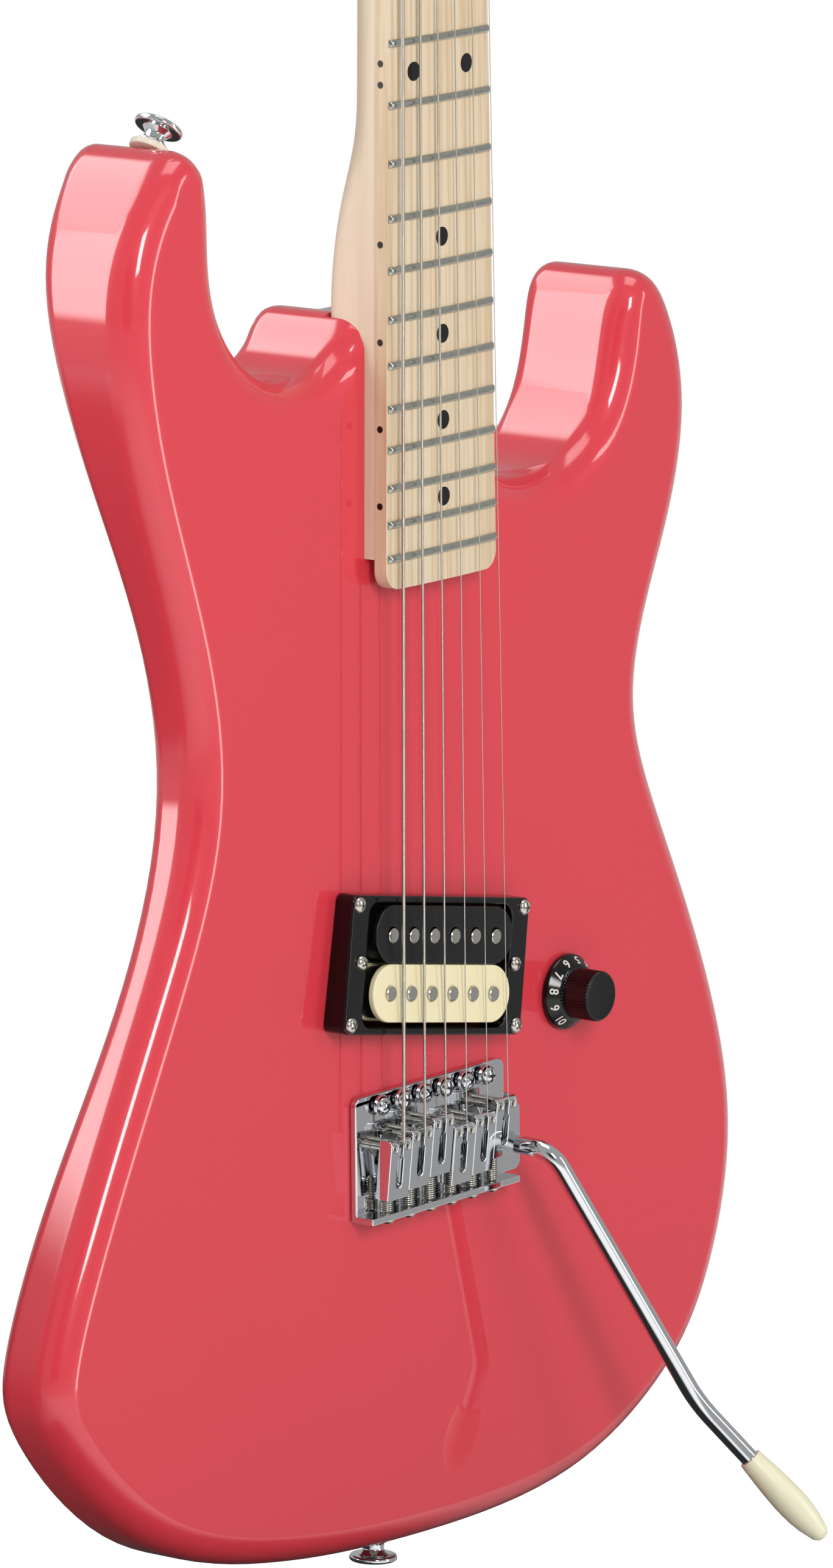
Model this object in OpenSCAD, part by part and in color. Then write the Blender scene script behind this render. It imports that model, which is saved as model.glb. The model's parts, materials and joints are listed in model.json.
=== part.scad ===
// Solid-body electric guitar with one slanted pickup, a six-screw vibrato bridge and a bolt-on neck.
// Frame: z = 0 at the nut and +z up the neck, y = 0 on the body's front face and +y into the body,
// x = 0 on the centre line and +x towards the treble side.

/* [Scale and strings] */
// Distance from the nut to the saddle line
scale_len = 647.7; // [620:0.1:670]
// Number of frets
fret_count = 22; // [21:1:24]
// Spacing of the strings at the saddles
string_pitch = 10.8; // [10.4:0.1:11]
// Spacing of the strings at the nut
nut_pitch = 7; // [6.6:0.1:7.2]
// Height of the strings above the body at the saddles
string_h = 12.9; // [12.5:0.1:14]
// Height of the strings above the fingerboard at the nut
nut_action = 1.6; // [1.4:0.1:2.5]

/* [Body] */
// Thickness of the body
body_t = 44; // [42:0.5:48]
// Radius of the front's rounded edge
edge_r = 11; // [6:0.5:12]
// Radius of the back's rounded edge
back_r = 6; // [4:0.5:10]
// Width of the back's hip contour for each mm of its depth
hip_run = 1.8; // [1.6:0.1:2.2]

/* [Neck] */
// Width of the neck at the nut
nut_w = 41.5; // [41:0.5:46]
// Width of the neck at the end of the heel
heel_w = 56; // [54:0.5:60]
// Length of the heel that sits in the body's pocket
heel_len = 77; // [70:1:84]
// Depth of the neck pocket
pocket_d = 16; // [14:0.5:18]
// Height of the neck wood above the body
neck_stand = 3.9; // [3:0.1:5]
// Depth of the neck wood at the nut
shaft_d = 14.5; // [13:0.5:16]
// Thickness of the fingerboard along its centre
board_t = 5.9; // [5:0.1:7]
// Radius of the fingerboard's playing face
board_r = 350; // [240:10:420]
// Length of the fingerboard past the last fret
board_over = 10; // [8:0.5:14]
// Height of the fret crowns
fret_h = 1.1; // [0.8:0.05:1.4]
// Width of the fret crowns
fret_w = 2.5; // [2:0.1:2.9]
// Thickness of the nut along the strings
nut_t = 3.4; // [3:0.1:5]
// Diameter of the position dots on the face
dot_d = 6; // [4:0.5:7]

/* [Headstock] */
// Thickness of the headstock
head_t = 14; // [13:0.5:16]
// Backward angle of the headstock
head_angle = 8; // [4:0.5:12]
// Spacing of the tuners
tuner_pitch = 25; // [24:0.5:28]
// Height of the first tuner above the nut
tuner_first = 36; // [34:1:42]
// Diameter of the tuner posts
post_d = 6; // [5.5:0.1:6.6]
// Height of the tuner posts above the headstock
post_h = 18; // [16:0.5:21]

/* [Pickup] */
// Length of the mounting ring
ring_l = 92; // [90:0.5:96]
// Width of the mounting ring
ring_w = 44; // [43:0.5:48]
// Height of the ring on the neck side
ring_low = 7.3; // [6:0.1:8]
// Height of the ring on the bridge side
ring_high = 8.8; // [8:0.1:10]
// Slant of the pickup across the strings
pickup_turn = 10; // [0:0.5:12]
// Distance of the pickup's centre from the saddle line
pickup_z = 47.9; // [46:0.1:54]
// Length of the bobbins
bobbin_l = 71; // [68:0.5:72]
// Width of one bobbin
bobbin_w = 18.4; // [17:0.1:18.8]
// Height of the bobbins' top face above the body
pickup_h = 10.2; // [9.5:0.1:11]
// Spacing of the pole pieces
pole_pitch = 10.7; // [10:0.1:11]

/* [Bridge] */
// Distance from the outer strings to the plate's sides
plate_side = 11.3; // [10.5:0.1:13]
// Distance from the saddle line to the plate's front edge
plate_front = 10.3; // [10:0.1:12]
// Distance from the saddle line to the plate's rear edge
plate_rear = 29.7; // [29.5:0.1:33]
// Thickness of the plate
plate_t = 2.3; // [2:0.1:3]
// Width of the ear that carries the arm
ear_w = 8.4; // [8:0.1:11]
// Height of the rear lip above the plate
lip_h = 6.5; // [6:0.1:8]
// Length of the saddles
saddle_l = 19.6; // [19:0.1:20]
// Depth of the saddles' side flanks
flank_h = 5; // [4.5:0.1:5.5]
// Thickness of the inertia block
block_t = 13; // [12:0.5:14]
// Depth of the inertia block below the plate
block_h = 36; // [35:0.5:37]
// Steepest tilt of the bridge in degrees
bridge_tilt = 8; // [4:0.5:8]

/* [Vibrato arm] */
// Diameter of the arm's rod
arm_d = 6; // [5:0.1:6.4]
// Height above the body at which the arm turns off its upright stretch
arm_rise = 22.4; // [22:0.1:28]
// Slope of the arm's long stretch away from the body
arm_slope = 11.8; // [10:0.1:18]
// Length of the arm's long stretch
arm_run = 105; // [90:1:115]
// Slope of the arm's end stretch away from the body
tip_slope = 32; // [24:0.5:38]
// Length of the arm's end stretch with its tip
tip_run = 61.3; // [56:0.1:72]
// Length of the tip
tip_l = 36; // [32:0.5:40]
// Largest diameter of the tip
tip_d = 10.5; // [9:0.1:12]
// Angle of the arm from straight down towards the treble side
arm_turn = 28.7; // [10:0.1:40]

/* [Controls] */
// Distance of the knob from the centre line
knob_x = 73.5; // [73:0.5:80]
// Height of the knob above the saddle line
knob_z = 25.5; // [20:0.5:30]
// Diameter of the knob's skirt
skirt_d = 24.6; // [22:0.1:27]
// Diameter of the knob's grip
grip_d = 16.4; // [15:0.1:18]
// Height of the knob
knob_h = 14.5; // [13:0.5:18]
// Diameter of the potentiometer's shaft
shaft_d_pot = 6; // [5.5:0.1:6.35]
// Thickness of the body's front over the control cavity
front_wall = 9; // [7:0.5:10]
// Diameter of the plug that the output jack takes
plug_d = 6.35; // [6:0.05:6.5]

/* [Hardware] */
// Thickness of the back covers
cover_t = 2; // [1.6:0.1:3]
// Thickness of the neck plate
neck_plate_t = 3; // [2:0.1:4]
// Diameter of the strap buttons' rim
button_d = 15.5; // [14:0.1:18]
// Height of the strap buttons
button_h = 7.4; // [6.5:0.1:9]
// Thickness of the felt washers
felt_t = 2.2; // [1.5:0.1:3]
// Diameter of the small wood screws
screw_d = 2.6; // [2.2:0.1:3]
// Length of the small wood screws
screw_l = 12; // [9:0.5:14]

/* [Hidden] */
$fn = 48;

// Colours
coral = "#dc4a55";
maple = "#e6cd9f";
maple_board = "#edd5a6";
nickel = "#b9b7ae";
chrome = "#c9ccd0";
black = "#141416";
cream = "#efe2bb";
bone = "#eee8d8";
copper = "#b5703a";
steel = "#8d9094";

// Clearances: seat between fixed pieces, run round turning shafts, free round pieces that swing
seat = 0.05;
run = 0.06;
free = 0.6;
// Width of the balls that join lines of rods, as a share of the rods
joint_ball = 1.08;

// Control points of the body's edge, a closed cubic B-spline: x, and z up from the saddle line
outline = [
    [-2, -143], [80, -143], [127, -122], [155, -98], [174, -47], [167, -1], [145, 50],
    [125, 88], [116, 115], [124, 143], [141, 176], [149, 212], [138, 245], [124, 257],
    [110, 251], [107, 224], [95, 201], [67, 191.5], [42, 198], [27, 215], [12, 240],
    [-8, 254], [-27, 260], [-33, 248], [-51, 237], [-78, 244], [-96, 266], [-97, 290],
    [-97, 310], [-111, 323], [-130, 304], [-144, 275], [-135, 220.5], [-113.5, 168], [-102, 110],
    [-131.5, 52.5], [-159.5, 1.5], [-185.5, -52], [-181, -73.5], [-137, -120], [-72, -137]
];
// Depth of the hip contour at the control points of the bass side, from this one to the last
hip_first = 30;
hip_depth = [2.5, 6.5, 16.2, 21.5, 21, 25, 18.7, 18.7, 18.3, 16.5, 9];
hip_steps = 3;
// Least width of the contour, where it has no depth, as a share of the rounded edge
hip_rest = 0.05;
hip_even = 0.75;
// Places along the edge, counted in control points
tail_u = 0;
jack_u = 3;
horn_u = 28.52;
edge_steps = 3;
round_step = 18;
edge_lip = 0.03;

function knot(i) = outline[(i + 2 * len(outline)) % len(outline)];
function edge_at(u) =
    let (i = floor(u), t = u - i)
    (pow(1 - t, 3) * knot(i - 1) + (3 * pow(t, 3) - 6 * t * t + 4) * knot(i)
        + (-3 * pow(t, 3) + 3 * t * t + 3 * t + 1) * knot(i + 1) + pow(t, 3) * knot(i + 2)) / 6;
function edge_vel(u) =
    let (i = floor(u), t = u - i)
    (-pow(1 - t, 2) * knot(i - 1) + (3 * t * t - 4 * t) * knot(i)
        + (-3 * t * t + 2 * t + 1) * knot(i + 1) + t * t * knot(i + 2)) / 2;
function edge_acc(u) =
    let (i = floor(u), t = u - i)
    (1 - t) * knot(i - 1) + (3 * t - 2) * knot(i) + (1 - 3 * t) * knot(i + 1) + t * knot(i + 2);
function edge_out(u) = let (v = edge_vel(u)) [v[1], -v[0]] / norm(v);
function edge_bend(u) = let (v = edge_vel(u), a = edge_acc(u)) (v[0] * a[1] - v[1] * a[0]) / pow(norm(v), 3);
// Width of the rounded edge, less on and next to tips that turn tighter than its radius
function edge_in(u) =
    let (k = max([0, for (d = [-2:2]) edge_bend(u + 0.3 * d)]))
    edge_r / pow(1 + pow(edge_r * k, 4), 0.25);
function hip_knot(i) =
    let (k = (i + 2 * len(outline)) % len(outline))
    k < hip_first ? 0 : hip_depth[k - hip_first];
function hip_at(u) =
    let (i = floor(u), t = u - i)
    (pow(1 - t, 3) * hip_knot(i - 1) + (3 * pow(t, 3) - 6 * t * t + 4) * hip_knot(i)
        + (-3 * pow(t, 3) + 3 * t * t + 3 * t + 1) * hip_knot(i + 1) + pow(t, 3) * hip_knot(i + 2)) / 6;
function hip_in(u) = hip_run * hip_at(u) + hip_rest * edge_in(u);
// Way across the contour: the edge's own way, evened out so that it stays open round the corner
function hip_out(u) =
    let (v = edge_out(u - 2 * hip_even) + edge_out(u - hip_even) + edge_out(u)
        + edge_out(u + hip_even) + edge_out(u + 2 * hip_even))
    v / norm(v);
function edge_angle(u) = let (o = edge_out(u)) atan2(o[0], o[1]);

// Frets and neck widths
function fret_z(n) = -scale_len * (1 - pow(2, -n / 12));
last_fret = fret_z(fret_count);
heel_z = last_fret - 0.5;
board_end = last_fret - board_over;
heel_top = heel_z + heel_len;
function neck_w(z) = nut_w + (heel_w - nut_w) * z / heel_z;
glue_y = -neck_stand;
board_y = glue_y - board_t;
heel_d = neck_stand + pocket_d;
face_dots = [3, 5, 7, 9, 15, 17, 19, 21];
octave = 12;
octave_x = 13.3;
octave_side = 3.3;
dot_depth = 1.6;
side_dot_d = 2.2;
tang_w = 0.6;
tang_h = 1.5;
shaft_gain = 2;
swoop = 72;
rod_d = 5.4;
rod_y = glue_y + 6;
rod_l = 400;

// Neck plate
neck_plate_w = 51;
neck_plate_l = 64;
neck_plate_r = 6;
neck_screw_x = 19;
neck_screw_z = 25.5;
neck_screw_d = 4.4;
neck_screw_l = 44;
neck_plate_z = heel_z + heel_len / 2;

// Strings, bass to treble
gauges = [1.17, 0.91, 0.66, 0.43, 0.33, 0.26];
saddle_back = [4.3, 2.4, 0.4, 5.2, 3.7, 0.5];
string_y_nut = board_y - nut_action;
hole_back = 11.2;
function bridge_x(i) = (i - 2.5) * string_pitch;
function nut_x(i) = (i - 2.5) * nut_pitch;
ball_d = 3.8;
ball_l = 3.2;
ball_depth = 16;

// Headstock, in its own tilted frame: y into the wood, z up from the nut's back edge
lean = atan(nut_pitch / tuner_pitch);
head_edge = 11;
wrap_y = -7;
wraps = 3;
wrap_wall = 1.3;
post_seat_d = 10;
bush_rim_d = 13;
bush_rim_t = 1.2;
house_w = 14;
house_l = 19;
house_t = 9.4;
house_wall = 1.2;
gear_off = 6.6;
gear_d = 8.4;
gear_t = 3.2;
worm_d = 4.2;
key_d = 3.6;
key_reach = 25;
key_w = 17;
key_h = 12;
key_t = 7;
function tuner_x(i) = nut_x(i) - post_d / 2 - seat - gauges[i] * wrap_wall / 2;
function tuner_z(i) = tuner_first + i * tuner_pitch;
function head_abs(p) = [
    p[0],
    glue_y + p[1] * cos(head_angle) + p[2] * sin(head_angle),
    nut_t - p[1] * sin(head_angle) + p[2] * cos(head_angle)
];

// Pickup
pickup_x = -2.5;
pickup_tilt = 3.5;
pickup_dz = 0.8;
open_l = bobbin_l + 3;
open_w = 2 * bobbin_w + 2.4;
ring_r = 2.5;
ring_screw_in = 3.1;
height_screw_in = 6.1;
height_screw_d = 2.8;
height_screw_l = 21;
bobbin_h = 10.4;
flange_t = 2.2;
core_w = 7.4;
slug_d = 4.8;
pole_d = 3;
pole_head_d = 4.9;
pole_l = 19;
magnet_t = 3;
base_t = 1.5;
pickup_cav_d = 24;

// Bridge, measured from the saddle line
plate_gap = 0.25;
plate_y = -plate_gap - plate_t;
plate_x = 2.5 * string_pitch + plate_side;
ear_x = plate_x + ear_w;
ear_front = 5.2;
plate_r = 3;
lip_t = 2.1;
lip_z = -plate_rear + lip_t;
pivot_z = plate_front - 3.6;
pivot_d = 3.4;
pivot_head_d = 7.4;
pivot_l = 24;
pivot_gap = 1.1;
saddle_w = string_pitch - 0.3;
saddle_t = 1.9;
saddle_nose = 0.8;
saddle_drop = 6;
saddle_wall = 1.5;
slot_w = 3.2;
slot_neck = 1.9;
slot_start = 4.6;
slot_end = 15.1;
set_back = 1.6;
set_x = 3.15;
set_d = 2.4;
set_hex = 1.5;
set_socket = 1.4;
into_d = 2.6;
into_y = plate_y - 3.1;
into_head_d = 5.2;
block_front = 4;
block_w = 5 * string_pitch + 12;
block_screw_d = 4;
spring_x = 17;
spring_y = 33;
spring_d = 9;
spring_n = 3;
claw_w = 56;
claw_t = 2;
claw_h = 11;
claw_z = 84;
claw_screw_x = 13;
claw_screw_d = 4;
claw_screw_l = 46;
rout_side = 3;
rout_front = 2.6;
rout_rear = block_h * sin(bridge_tilt) + 2.4;
spring_cav_y = body_t - 17;
spring_cav_x = 31;
spring_cav_top = 92;
cover_side = 7;
cover_r = 8;

// Arm: its upright axis stands behind the treble saddle
arm_x = plate_x - 1.4;
arm_z = -17.3;
boss_d = 11;
boss_h = 12;
arm_bend = 9;
knee_bend = 40;
arm_lap = 0.4;
tip_in = 20;
tip_wall = 0.02;

// Controls
pot_d = 24;
pot_lug_w = 12;
pot_lug_t = 1.8;
pot_lug_l = 6;
pot_t = 11;
bushing_d = 9.4;
nut_af = 12.6;
nut_h = 2;
knob_gap = 0.8;
skirt_h = 4.6;
cav_r = 20;
cav_end = [104, -42];
jack_bore = plug_d / 2 + 0.05;
jack_d = 9.4;
jack_l = 24;
jack_body_d = 15;
jack_plate_l = 40;
jack_plate_w = 19;
jack_plate_t = 2;
jack_plate_in = 2.6;
jack_cav_d = 20;
jack_cav_l = 60;
wire_d = 2.2;
wire_way_d = 6;
wire_y = front_wall + 5;
wire_from = [pickup_x + 14, wire_y, pickup_z - 9];
wire_to = [knob_x - pot_d / 2 - 5, wire_y, knob_z + 1];
wire_round = pot_d / 2 + 4.5;
button_neck_d = 6.8;
button_base_d = 9.8;
button_rim = 2;
button_sink = 1.4;
strap_screw_d = 4;
strap_screw_l = 32;
felt_d = 13;
screw_head_d = 5.2;
screw_head_h = 1.7;

// Plate drawn in x and z, from y0 to y1
module slab(y0, y1) translate([0, y1, 0]) rotate([90, 0, 0]) linear_extrude(y1 - y0) children();

// Round bar along y, from y0 to y1
module bar_y(y0, y1, d) translate([0, y0, 0]) rotate([-90, 0, 0]) cylinder(h = y1 - y0, d = d);

// Round bar along z, from z0 to z1
module bar_z(z0, z1, d) translate([0, 0, z0]) cylinder(h = z1 - z0, d = d);

// Straight rod between two points
module rod(p, q, d) {
    v = q - p;
    translate(p) rotate([0, acos(v[2] / norm(v)), atan2(v[1], v[0])]) cylinder(h = norm(v), d = d);
}

// Line of rods through several points, with a ball a little wider than the rods at each turn
module rod_chain(path, d) {
    for (k = [0:len(path) - 2]) {
        way = (path[k + 1] - path[k]) / norm(path[k + 1] - path[k]) * d * 0.1;
        rod(path[k] + way, path[k + 1] - way, d);
    }
    for (k = [1:len(path) - 2]) translate(path[k]) sphere(d = d * joint_ball);
}

// Rectangle with round corners, centred
module round_rect(w, h, r) {
    square([w - 2 * r, h], center = true);
    square([w, h - 2 * r], center = true);
    for (x = [-1, 1], y = [-1, 1]) translate([x * (w / 2 - r), y * (h / 2 - r)]) circle(r);
}

// Slot between two points with round ends
module slot_2d(p, q, r) {
    v = q - p;
    translate(p) circle(r);
    translate(q) circle(r);
    translate(p) rotate(atan2(v[1], v[0])) translate([0, -r]) square([norm(v), 2 * r]);
}

// Round head with a cross recess; its seat is at y = 0 and its top points to -y
module cross_head(d, h) {
    dome = (d * d / 4 + h * h) / (2 * h);
    difference() {
        intersection() {
            translate([0, dome - h, 0]) sphere(dome);
            bar_y(-h - 1, 0, d);
        }
        for (a = [0, 90]) rotate([0, a, 0]) translate([-d * 0.3, -h - 1, -d * 0.06])
            cube([d * 0.6, 1 + h * 0.6, d * 0.12]);
    }
}

// Small wood screw with its head's seat at y = 0 and its point towards +y
module small_screw() {
    cross_head(screw_head_d, screw_head_h);
    bar_y(0, screw_l - screw_d, screw_d);
    translate([0, screw_l - screw_d, 0]) rotate([-90, 0, 0]) cylinder(h = screw_d, d1 = screw_d, d2 = 0.6);
}

module at_bridge() translate([0, 0, -scale_len]) children();

module at_pickup() translate([pickup_x, 0, pickup_z - scale_len]) rotate([0, pickup_turn, 0]) children();

// Frame of the pickup itself: y = 0 on the bobbins' top face, +y into the body
module in_pickup() at_pickup() translate([0, -pickup_h, pickup_dz]) rotate([-pickup_tilt, 0, 0]) children();

// Frame on the body's edge: z points out of the wood, x along the edge
module on_edge(u) {
    p = edge_at(u);
    translate([p[0], body_t / 2, p[1] - scale_len]) rotate([0, edge_angle(u), 0]) children();
}

module on_head() translate([0, glue_y, nut_t]) rotate([-head_angle, 0, 0]) children();

// Frame of one tuner: y = 0 on the headstock's face, z along the row of tuners
module at_tuner(i) on_head() translate([tuner_x(i), 0, tuner_z(i)]) rotate([0, lean, 0]) children();

module at_knob() translate([knob_x, 0, knob_z - scale_len]) children();

module ring_screws() {
    slope = atan((ring_high - ring_low) / ring_w);
    for (x = [-1, 1], z = [-1, 1])
        at_pickup() translate([x * (ring_l / 2 - ring_screw_in), 0, z * (ring_w / 2 - ring_screw_in)])
            translate([0, -(ring_low + ring_high) / 2 - seat + z * (ring_w / 2 - ring_screw_in) * tan(slope),
                0]) children();
}

// Corners of the two back covers
spring_cover_z = (spring_cav_top - block_front - block_t - rout_rear) / 2;
spring_cover_l = spring_cav_top + block_front + block_t + rout_rear + 2 * cover_side;
spring_cover_w = block_w + 2 * rout_side + 2 * cover_side;
cover_r_out = cav_r + cover_side;
module spring_cover_spots() {
    for (x = [-1, 1], z = [-1, 0, 1])
        at_bridge() translate([x * (spring_cover_w / 2 - 3.6), body_t + cover_t + seat, spring_cover_z
            + z * (spring_cover_l / 2 - 4)])
            rotate([180, 0, 0]) children();
}
cav_way = cav_end - [knob_x, knob_z];
cav_dir = cav_way / norm(cav_way);
cav_side = [-cav_dir[1], cav_dir[0]];
// Frame of the control cavity: x runs from the knob to the cavity's far end
module in_controls() at_knob() rotate([0, -atan2(cav_way[1], cav_way[0]), 0]) children();
module control_cover_spots() {
    r = cover_r_out - 3.4;
    spots = [
        [knob_x, knob_z] - cav_dir * r, cav_end + cav_dir * r,
        ([knob_x, knob_z] + cav_end) / 2 + cav_side * r, ([knob_x, knob_z] + cav_end) / 2 - cav_side * r
    ];
    for (p = spots) at_bridge() translate([p[0], body_t + cover_t + seat, p[1]]) rotate([180, 0, 0]) children();
}
module jack_plate_spots() {
    for (x = [-1, 1]) on_edge(jack_u)
        translate([x * (jack_plate_l / 2 - 5), 0, -jack_plate_in + jack_plate_t + seat]) rotate([-90, 0, 0])
            children();
}
module tuner_screw_spots() {
    for (i = [0:5]) at_tuner(i) translate([house_w / 2 + 3, head_t + 1.6 + 2 * seat, 0]) rotate([180, 0, 0])
        children();
}

// Body: rings of edge points, from before the front face round the edge to behind the back face,
// trimmed to the thickness so that both faces come out flat and whole
module body_shell() intersection() {
    reach = max([for (p = outline) norm(p)]);
    edge_rings();
    translate([-reach, 0, -reach]) cube([2 * reach, body_t, 2 * reach]);
}
module edge_rings() {
    n = len(outline) * edge_steps;
    // Each ring: share of the rounded edge, depth, share of the contour's width and of its depth
    front_rings = concat([[1, -edge_r, 0, 0]],
        [for (a = [90:-round_step:0]) [1 - cos(a), max(edge_lip, edge_r * (1 - sin(a))), 0, 0]]);
    share = back_r / edge_r;
    back_rings = [for (a = [0:round_step:90])
        [share * (1 - cos(a)), body_t - max(edge_lip, back_r * (1 - sin(a))), 0, 1]];
    hip_rings = [for (k = [1:hip_steps]) let (s = k / hip_steps)
        [share, body_t - edge_lip, s, 1 - s * s * (3 - 2 * s)]];
    rings = concat(front_rings, back_rings, hip_rings, [[share, body_t + edge_r, 1, 0]]);
    pts = [for (g = rings, k = [0:n - 1])
        let (u = k / edge_steps, p = edge_at(u) - edge_out(u) * edge_in(u) * g[0] - hip_out(u) * hip_in(u) * g[2])
        [p[0], g[1] - hip_at(u) * g[3], p[1]]];
    last = (len(rings) - 1) * n;
    sides = [for (j = [0:len(rings) - 2], k = [0:n - 1], h = [0, 1])
        let (a = j * n + k, b = j * n + (k + 1) % n) h == 0 ? [a, b, b + n] : [a, b + n, a + n]];
    front = [[for (k = [n - 1:-1:0]) k]];
    back = [[for (k = [0:n - 1]) last + k]];
    polyhedron(points = pts, faces = concat(sides, front, back));
}

// Plan of the neck's heel, tapered as the neck is, up to the height z1
module heel_plan(z1, clear) {
    polygon([
        [-neck_w(heel_z) / 2 - clear, heel_z - clear], [neck_w(heel_z) / 2 + clear, heel_z - clear],
        [neck_w(z1) / 2 + clear, z1], [-neck_w(z1) / 2 - clear, z1]
    ]);
}

module body() color(coral) difference() {
    at_bridge() body_shell();
    // Neck pocket, open upwards
    slab(-1, pocket_d + seat) heel_plan(heel_top + 60, seat);
    for (x = [-1, 1], z = [-1, 1])
        translate([x * neck_screw_x, 0, neck_plate_z + z * neck_screw_z])
            bar_y(pocket_d - 1, body_t + 1, neck_screw_d + 2 * seat);
    // Pickup cavity with room for the legs
    at_pickup() slab(-1, pickup_cav_d) {
        round_rect(open_l, open_w + 1, 5);
        round_rect(ring_l - 5, 16, 4);
    }
    ring_screws() bar_y(2, screw_l + 4, screw_d + 2 * seat);
    // Rout for the inertia block and its swing, and the cavity of its springs
    at_bridge() {
        translate([-block_w / 2 - rout_side, -1, -block_front - block_t - rout_rear])
            cube([block_w + 2 * rout_side, body_t + 2, block_t + rout_front + rout_rear]);
        translate([-spring_cav_x, spring_cav_y, -block_front - block_t])
            cube([2 * spring_cav_x, body_t, spring_cav_top + block_front + block_t]);
        translate([arm_x, 0, arm_z - 0.6]) bar_y(-1, boss_h + 6, boss_d + 6);
        for (i = [0:5]) translate([bridge_x(i), 0, pivot_z]) bar_y(-1, pivot_l, pivot_d + 2 * seat);
        for (x = [-1, 1]) translate([x * claw_screw_x, spring_y, 0])
            bar_z(spring_cav_top - 1, claw_z + claw_screw_l + 1, claw_screw_d + 2 * seat);
    }
    // Control cavity, the pot's hole and the jack's way in
    in_controls() slab(front_wall, body_t + 1) slot_2d([0, 0], [norm(cav_way), 0], cav_r);
    at_knob() bar_y(-1, front_wall + 1, bushing_d + 2 * seat);
    on_edge(jack_u) {
        bar_z(-jack_cav_l, 10, jack_cav_d);
        translate([0, 0, -jack_plate_in]) linear_extrude(20)
            round_rect(jack_plate_l + 2 * seat, jack_plate_w + 2 * seat, 5);
    }
    jack_plate_spots() bar_y(-1, screw_l + 1, screw_d + 2 * seat);
    // Wire way from the pickup to the control cavity
    at_bridge() rod(wire_from, wire_to, wire_way_d);
    spring_cover_spots() bar_y(cover_t, screw_l + 1, screw_d + 2 * seat);
    control_cover_spots() bar_y(cover_t, screw_l + 1, screw_d + 2 * seat);
    for (u = [tail_u, horn_u]) on_edge(u) bar_z(-strap_screw_l, 1, strap_screw_d + 2 * seat);
}

// Shape of the neck's shaft along its length
function ease(t) = let (c = min(1, max(0, t))) c * c * (3 - 2 * c);
function to_heel(z) = ease((heel_top + swoop - z) / swoop);
function to_head(z) = ease((z + 14) / (nut_t + 34));
function shaft_top(z) = z <= nut_t ? glue_y : glue_y + 0.3 + (z - nut_t) * tan(head_angle);
function shaft_depth(z) =
    let (d = shaft_d + shaft_gain * min(1, z / fret_z(octave)))
    (d * (1 - to_heel(z)) + (heel_d - 0.2) * to_heel(z)) * (1 - to_head(z)) + (head_t - 2) * to_head(z);
function shaft_half(z) = neck_w(min(z, 0)) / 2 - 0.15 * to_heel(z) - 1.2 * to_head(z);
function squareness(z) = 2.3 + 9 * pow(to_heel(z), 2);
function bulge(v, n) = sign(v) * pow(abs(v), 2 / n);

module neck_shaft() {
    m = 16;
    zs = concat(
        [nut_t + 20, nut_t + 14, nut_t + 7, nut_t, -8, -20],
        [for (k = [1:6]) -20 + (heel_top + swoop + 20) * k / 6],
        [for (k = [1:9]) heel_top + swoop * (1 - k / 9)],
        [heel_top - 6]
    );
    pts = [for (z = zs, k = [0:m]) let (a = 180 * k / m, n = squareness(z))
        [shaft_half(z) * bulge(cos(a), n), shaft_top(z) + shaft_depth(z) * bulge(sin(a), n), z]];
    w = m + 1;
    sides = [for (j = [0:len(zs) - 2], k = [0:m], h = [0, 1])
        let (a = j * w + k, b = j * w + (k + 1) % w) h == 0 ? [a, b, b + w] : [a, b + w, a + w]];
    upper = [[for (k = [m:-1:0]) k]];
    lower = [[for (k = [0:m]) (len(zs) - 1) * w + k]];
    polyhedron(points = pts, faces = concat(sides, upper, lower));
}

// Cubic curve between two points with two guides
function curve(a, b, c, d, n) = [for (k = [1:n]) let (t = k / n)
    pow(1 - t, 3) * a + 3 * t * pow(1 - t, 2) * b + 3 * t * t * (1 - t) * c + pow(t, 3) * d];

// Outline of the headstock: a plain slanted blade round its row of tuners
module head_plan() {
    along = [sin(lean), cos(lean)];
    out = [-cos(lean), sin(lean)];
    first = [tuner_x(0), tuner_z(0)];
    end = [tuner_x(5), tuner_z(5)];
    low = first + out * head_edge - along * 14;
    high = end + out * head_edge + along * 8;
    tip = end + along * 21 + out * -10;
    wide = end + out * -29 - along * 8;
    left = [-nut_w / 2, 0];
    right = [nut_w / 2, 0];
    polygon(concat(
        [left],
        curve(left, left + [0, 9], low - along * 8, low, 8),
        [high],
        curve(high, high + along * 10, tip + out * 8, tip, 8),
        curve(tip, tip - out * 14, wide + along * 14, wide, 8),
        curve(wide, wide - along * 60, right + [0, 40], right, 12)
    ));
}

module neck() color(maple) difference() {
    union() {
        neck_shaft();
        slab(glue_y, pocket_d) heel_plan(heel_top, 0);
        on_head() slab(0, head_t) head_plan();
    }
    // Channel of the truss rod under the fingerboard
    translate([-rod_d / 2 - seat, glue_y - 1, heel_z + 12])
        cube([rod_d + 2 * seat, rod_y - glue_y + 1 + rod_d / 2 + seat, rod_l + 4]);
    for (x = [-1, 1], z = [-1, 1])
        translate([x * neck_screw_x, 0, neck_plate_z + z * neck_screw_z])
            bar_y(body_t + neck_plate_t - neck_screw_l - 1, pocket_d + 1, neck_screw_d + 2 * seat);
    for (i = [0:5]) {
        at_tuner(i) bar_y(-1, head_t + 1, post_seat_d + 2 * seat);
    }
    tuner_screw_spots() bar_y(1, screw_l + 0.4, screw_d + 2 * seat);
}

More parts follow.
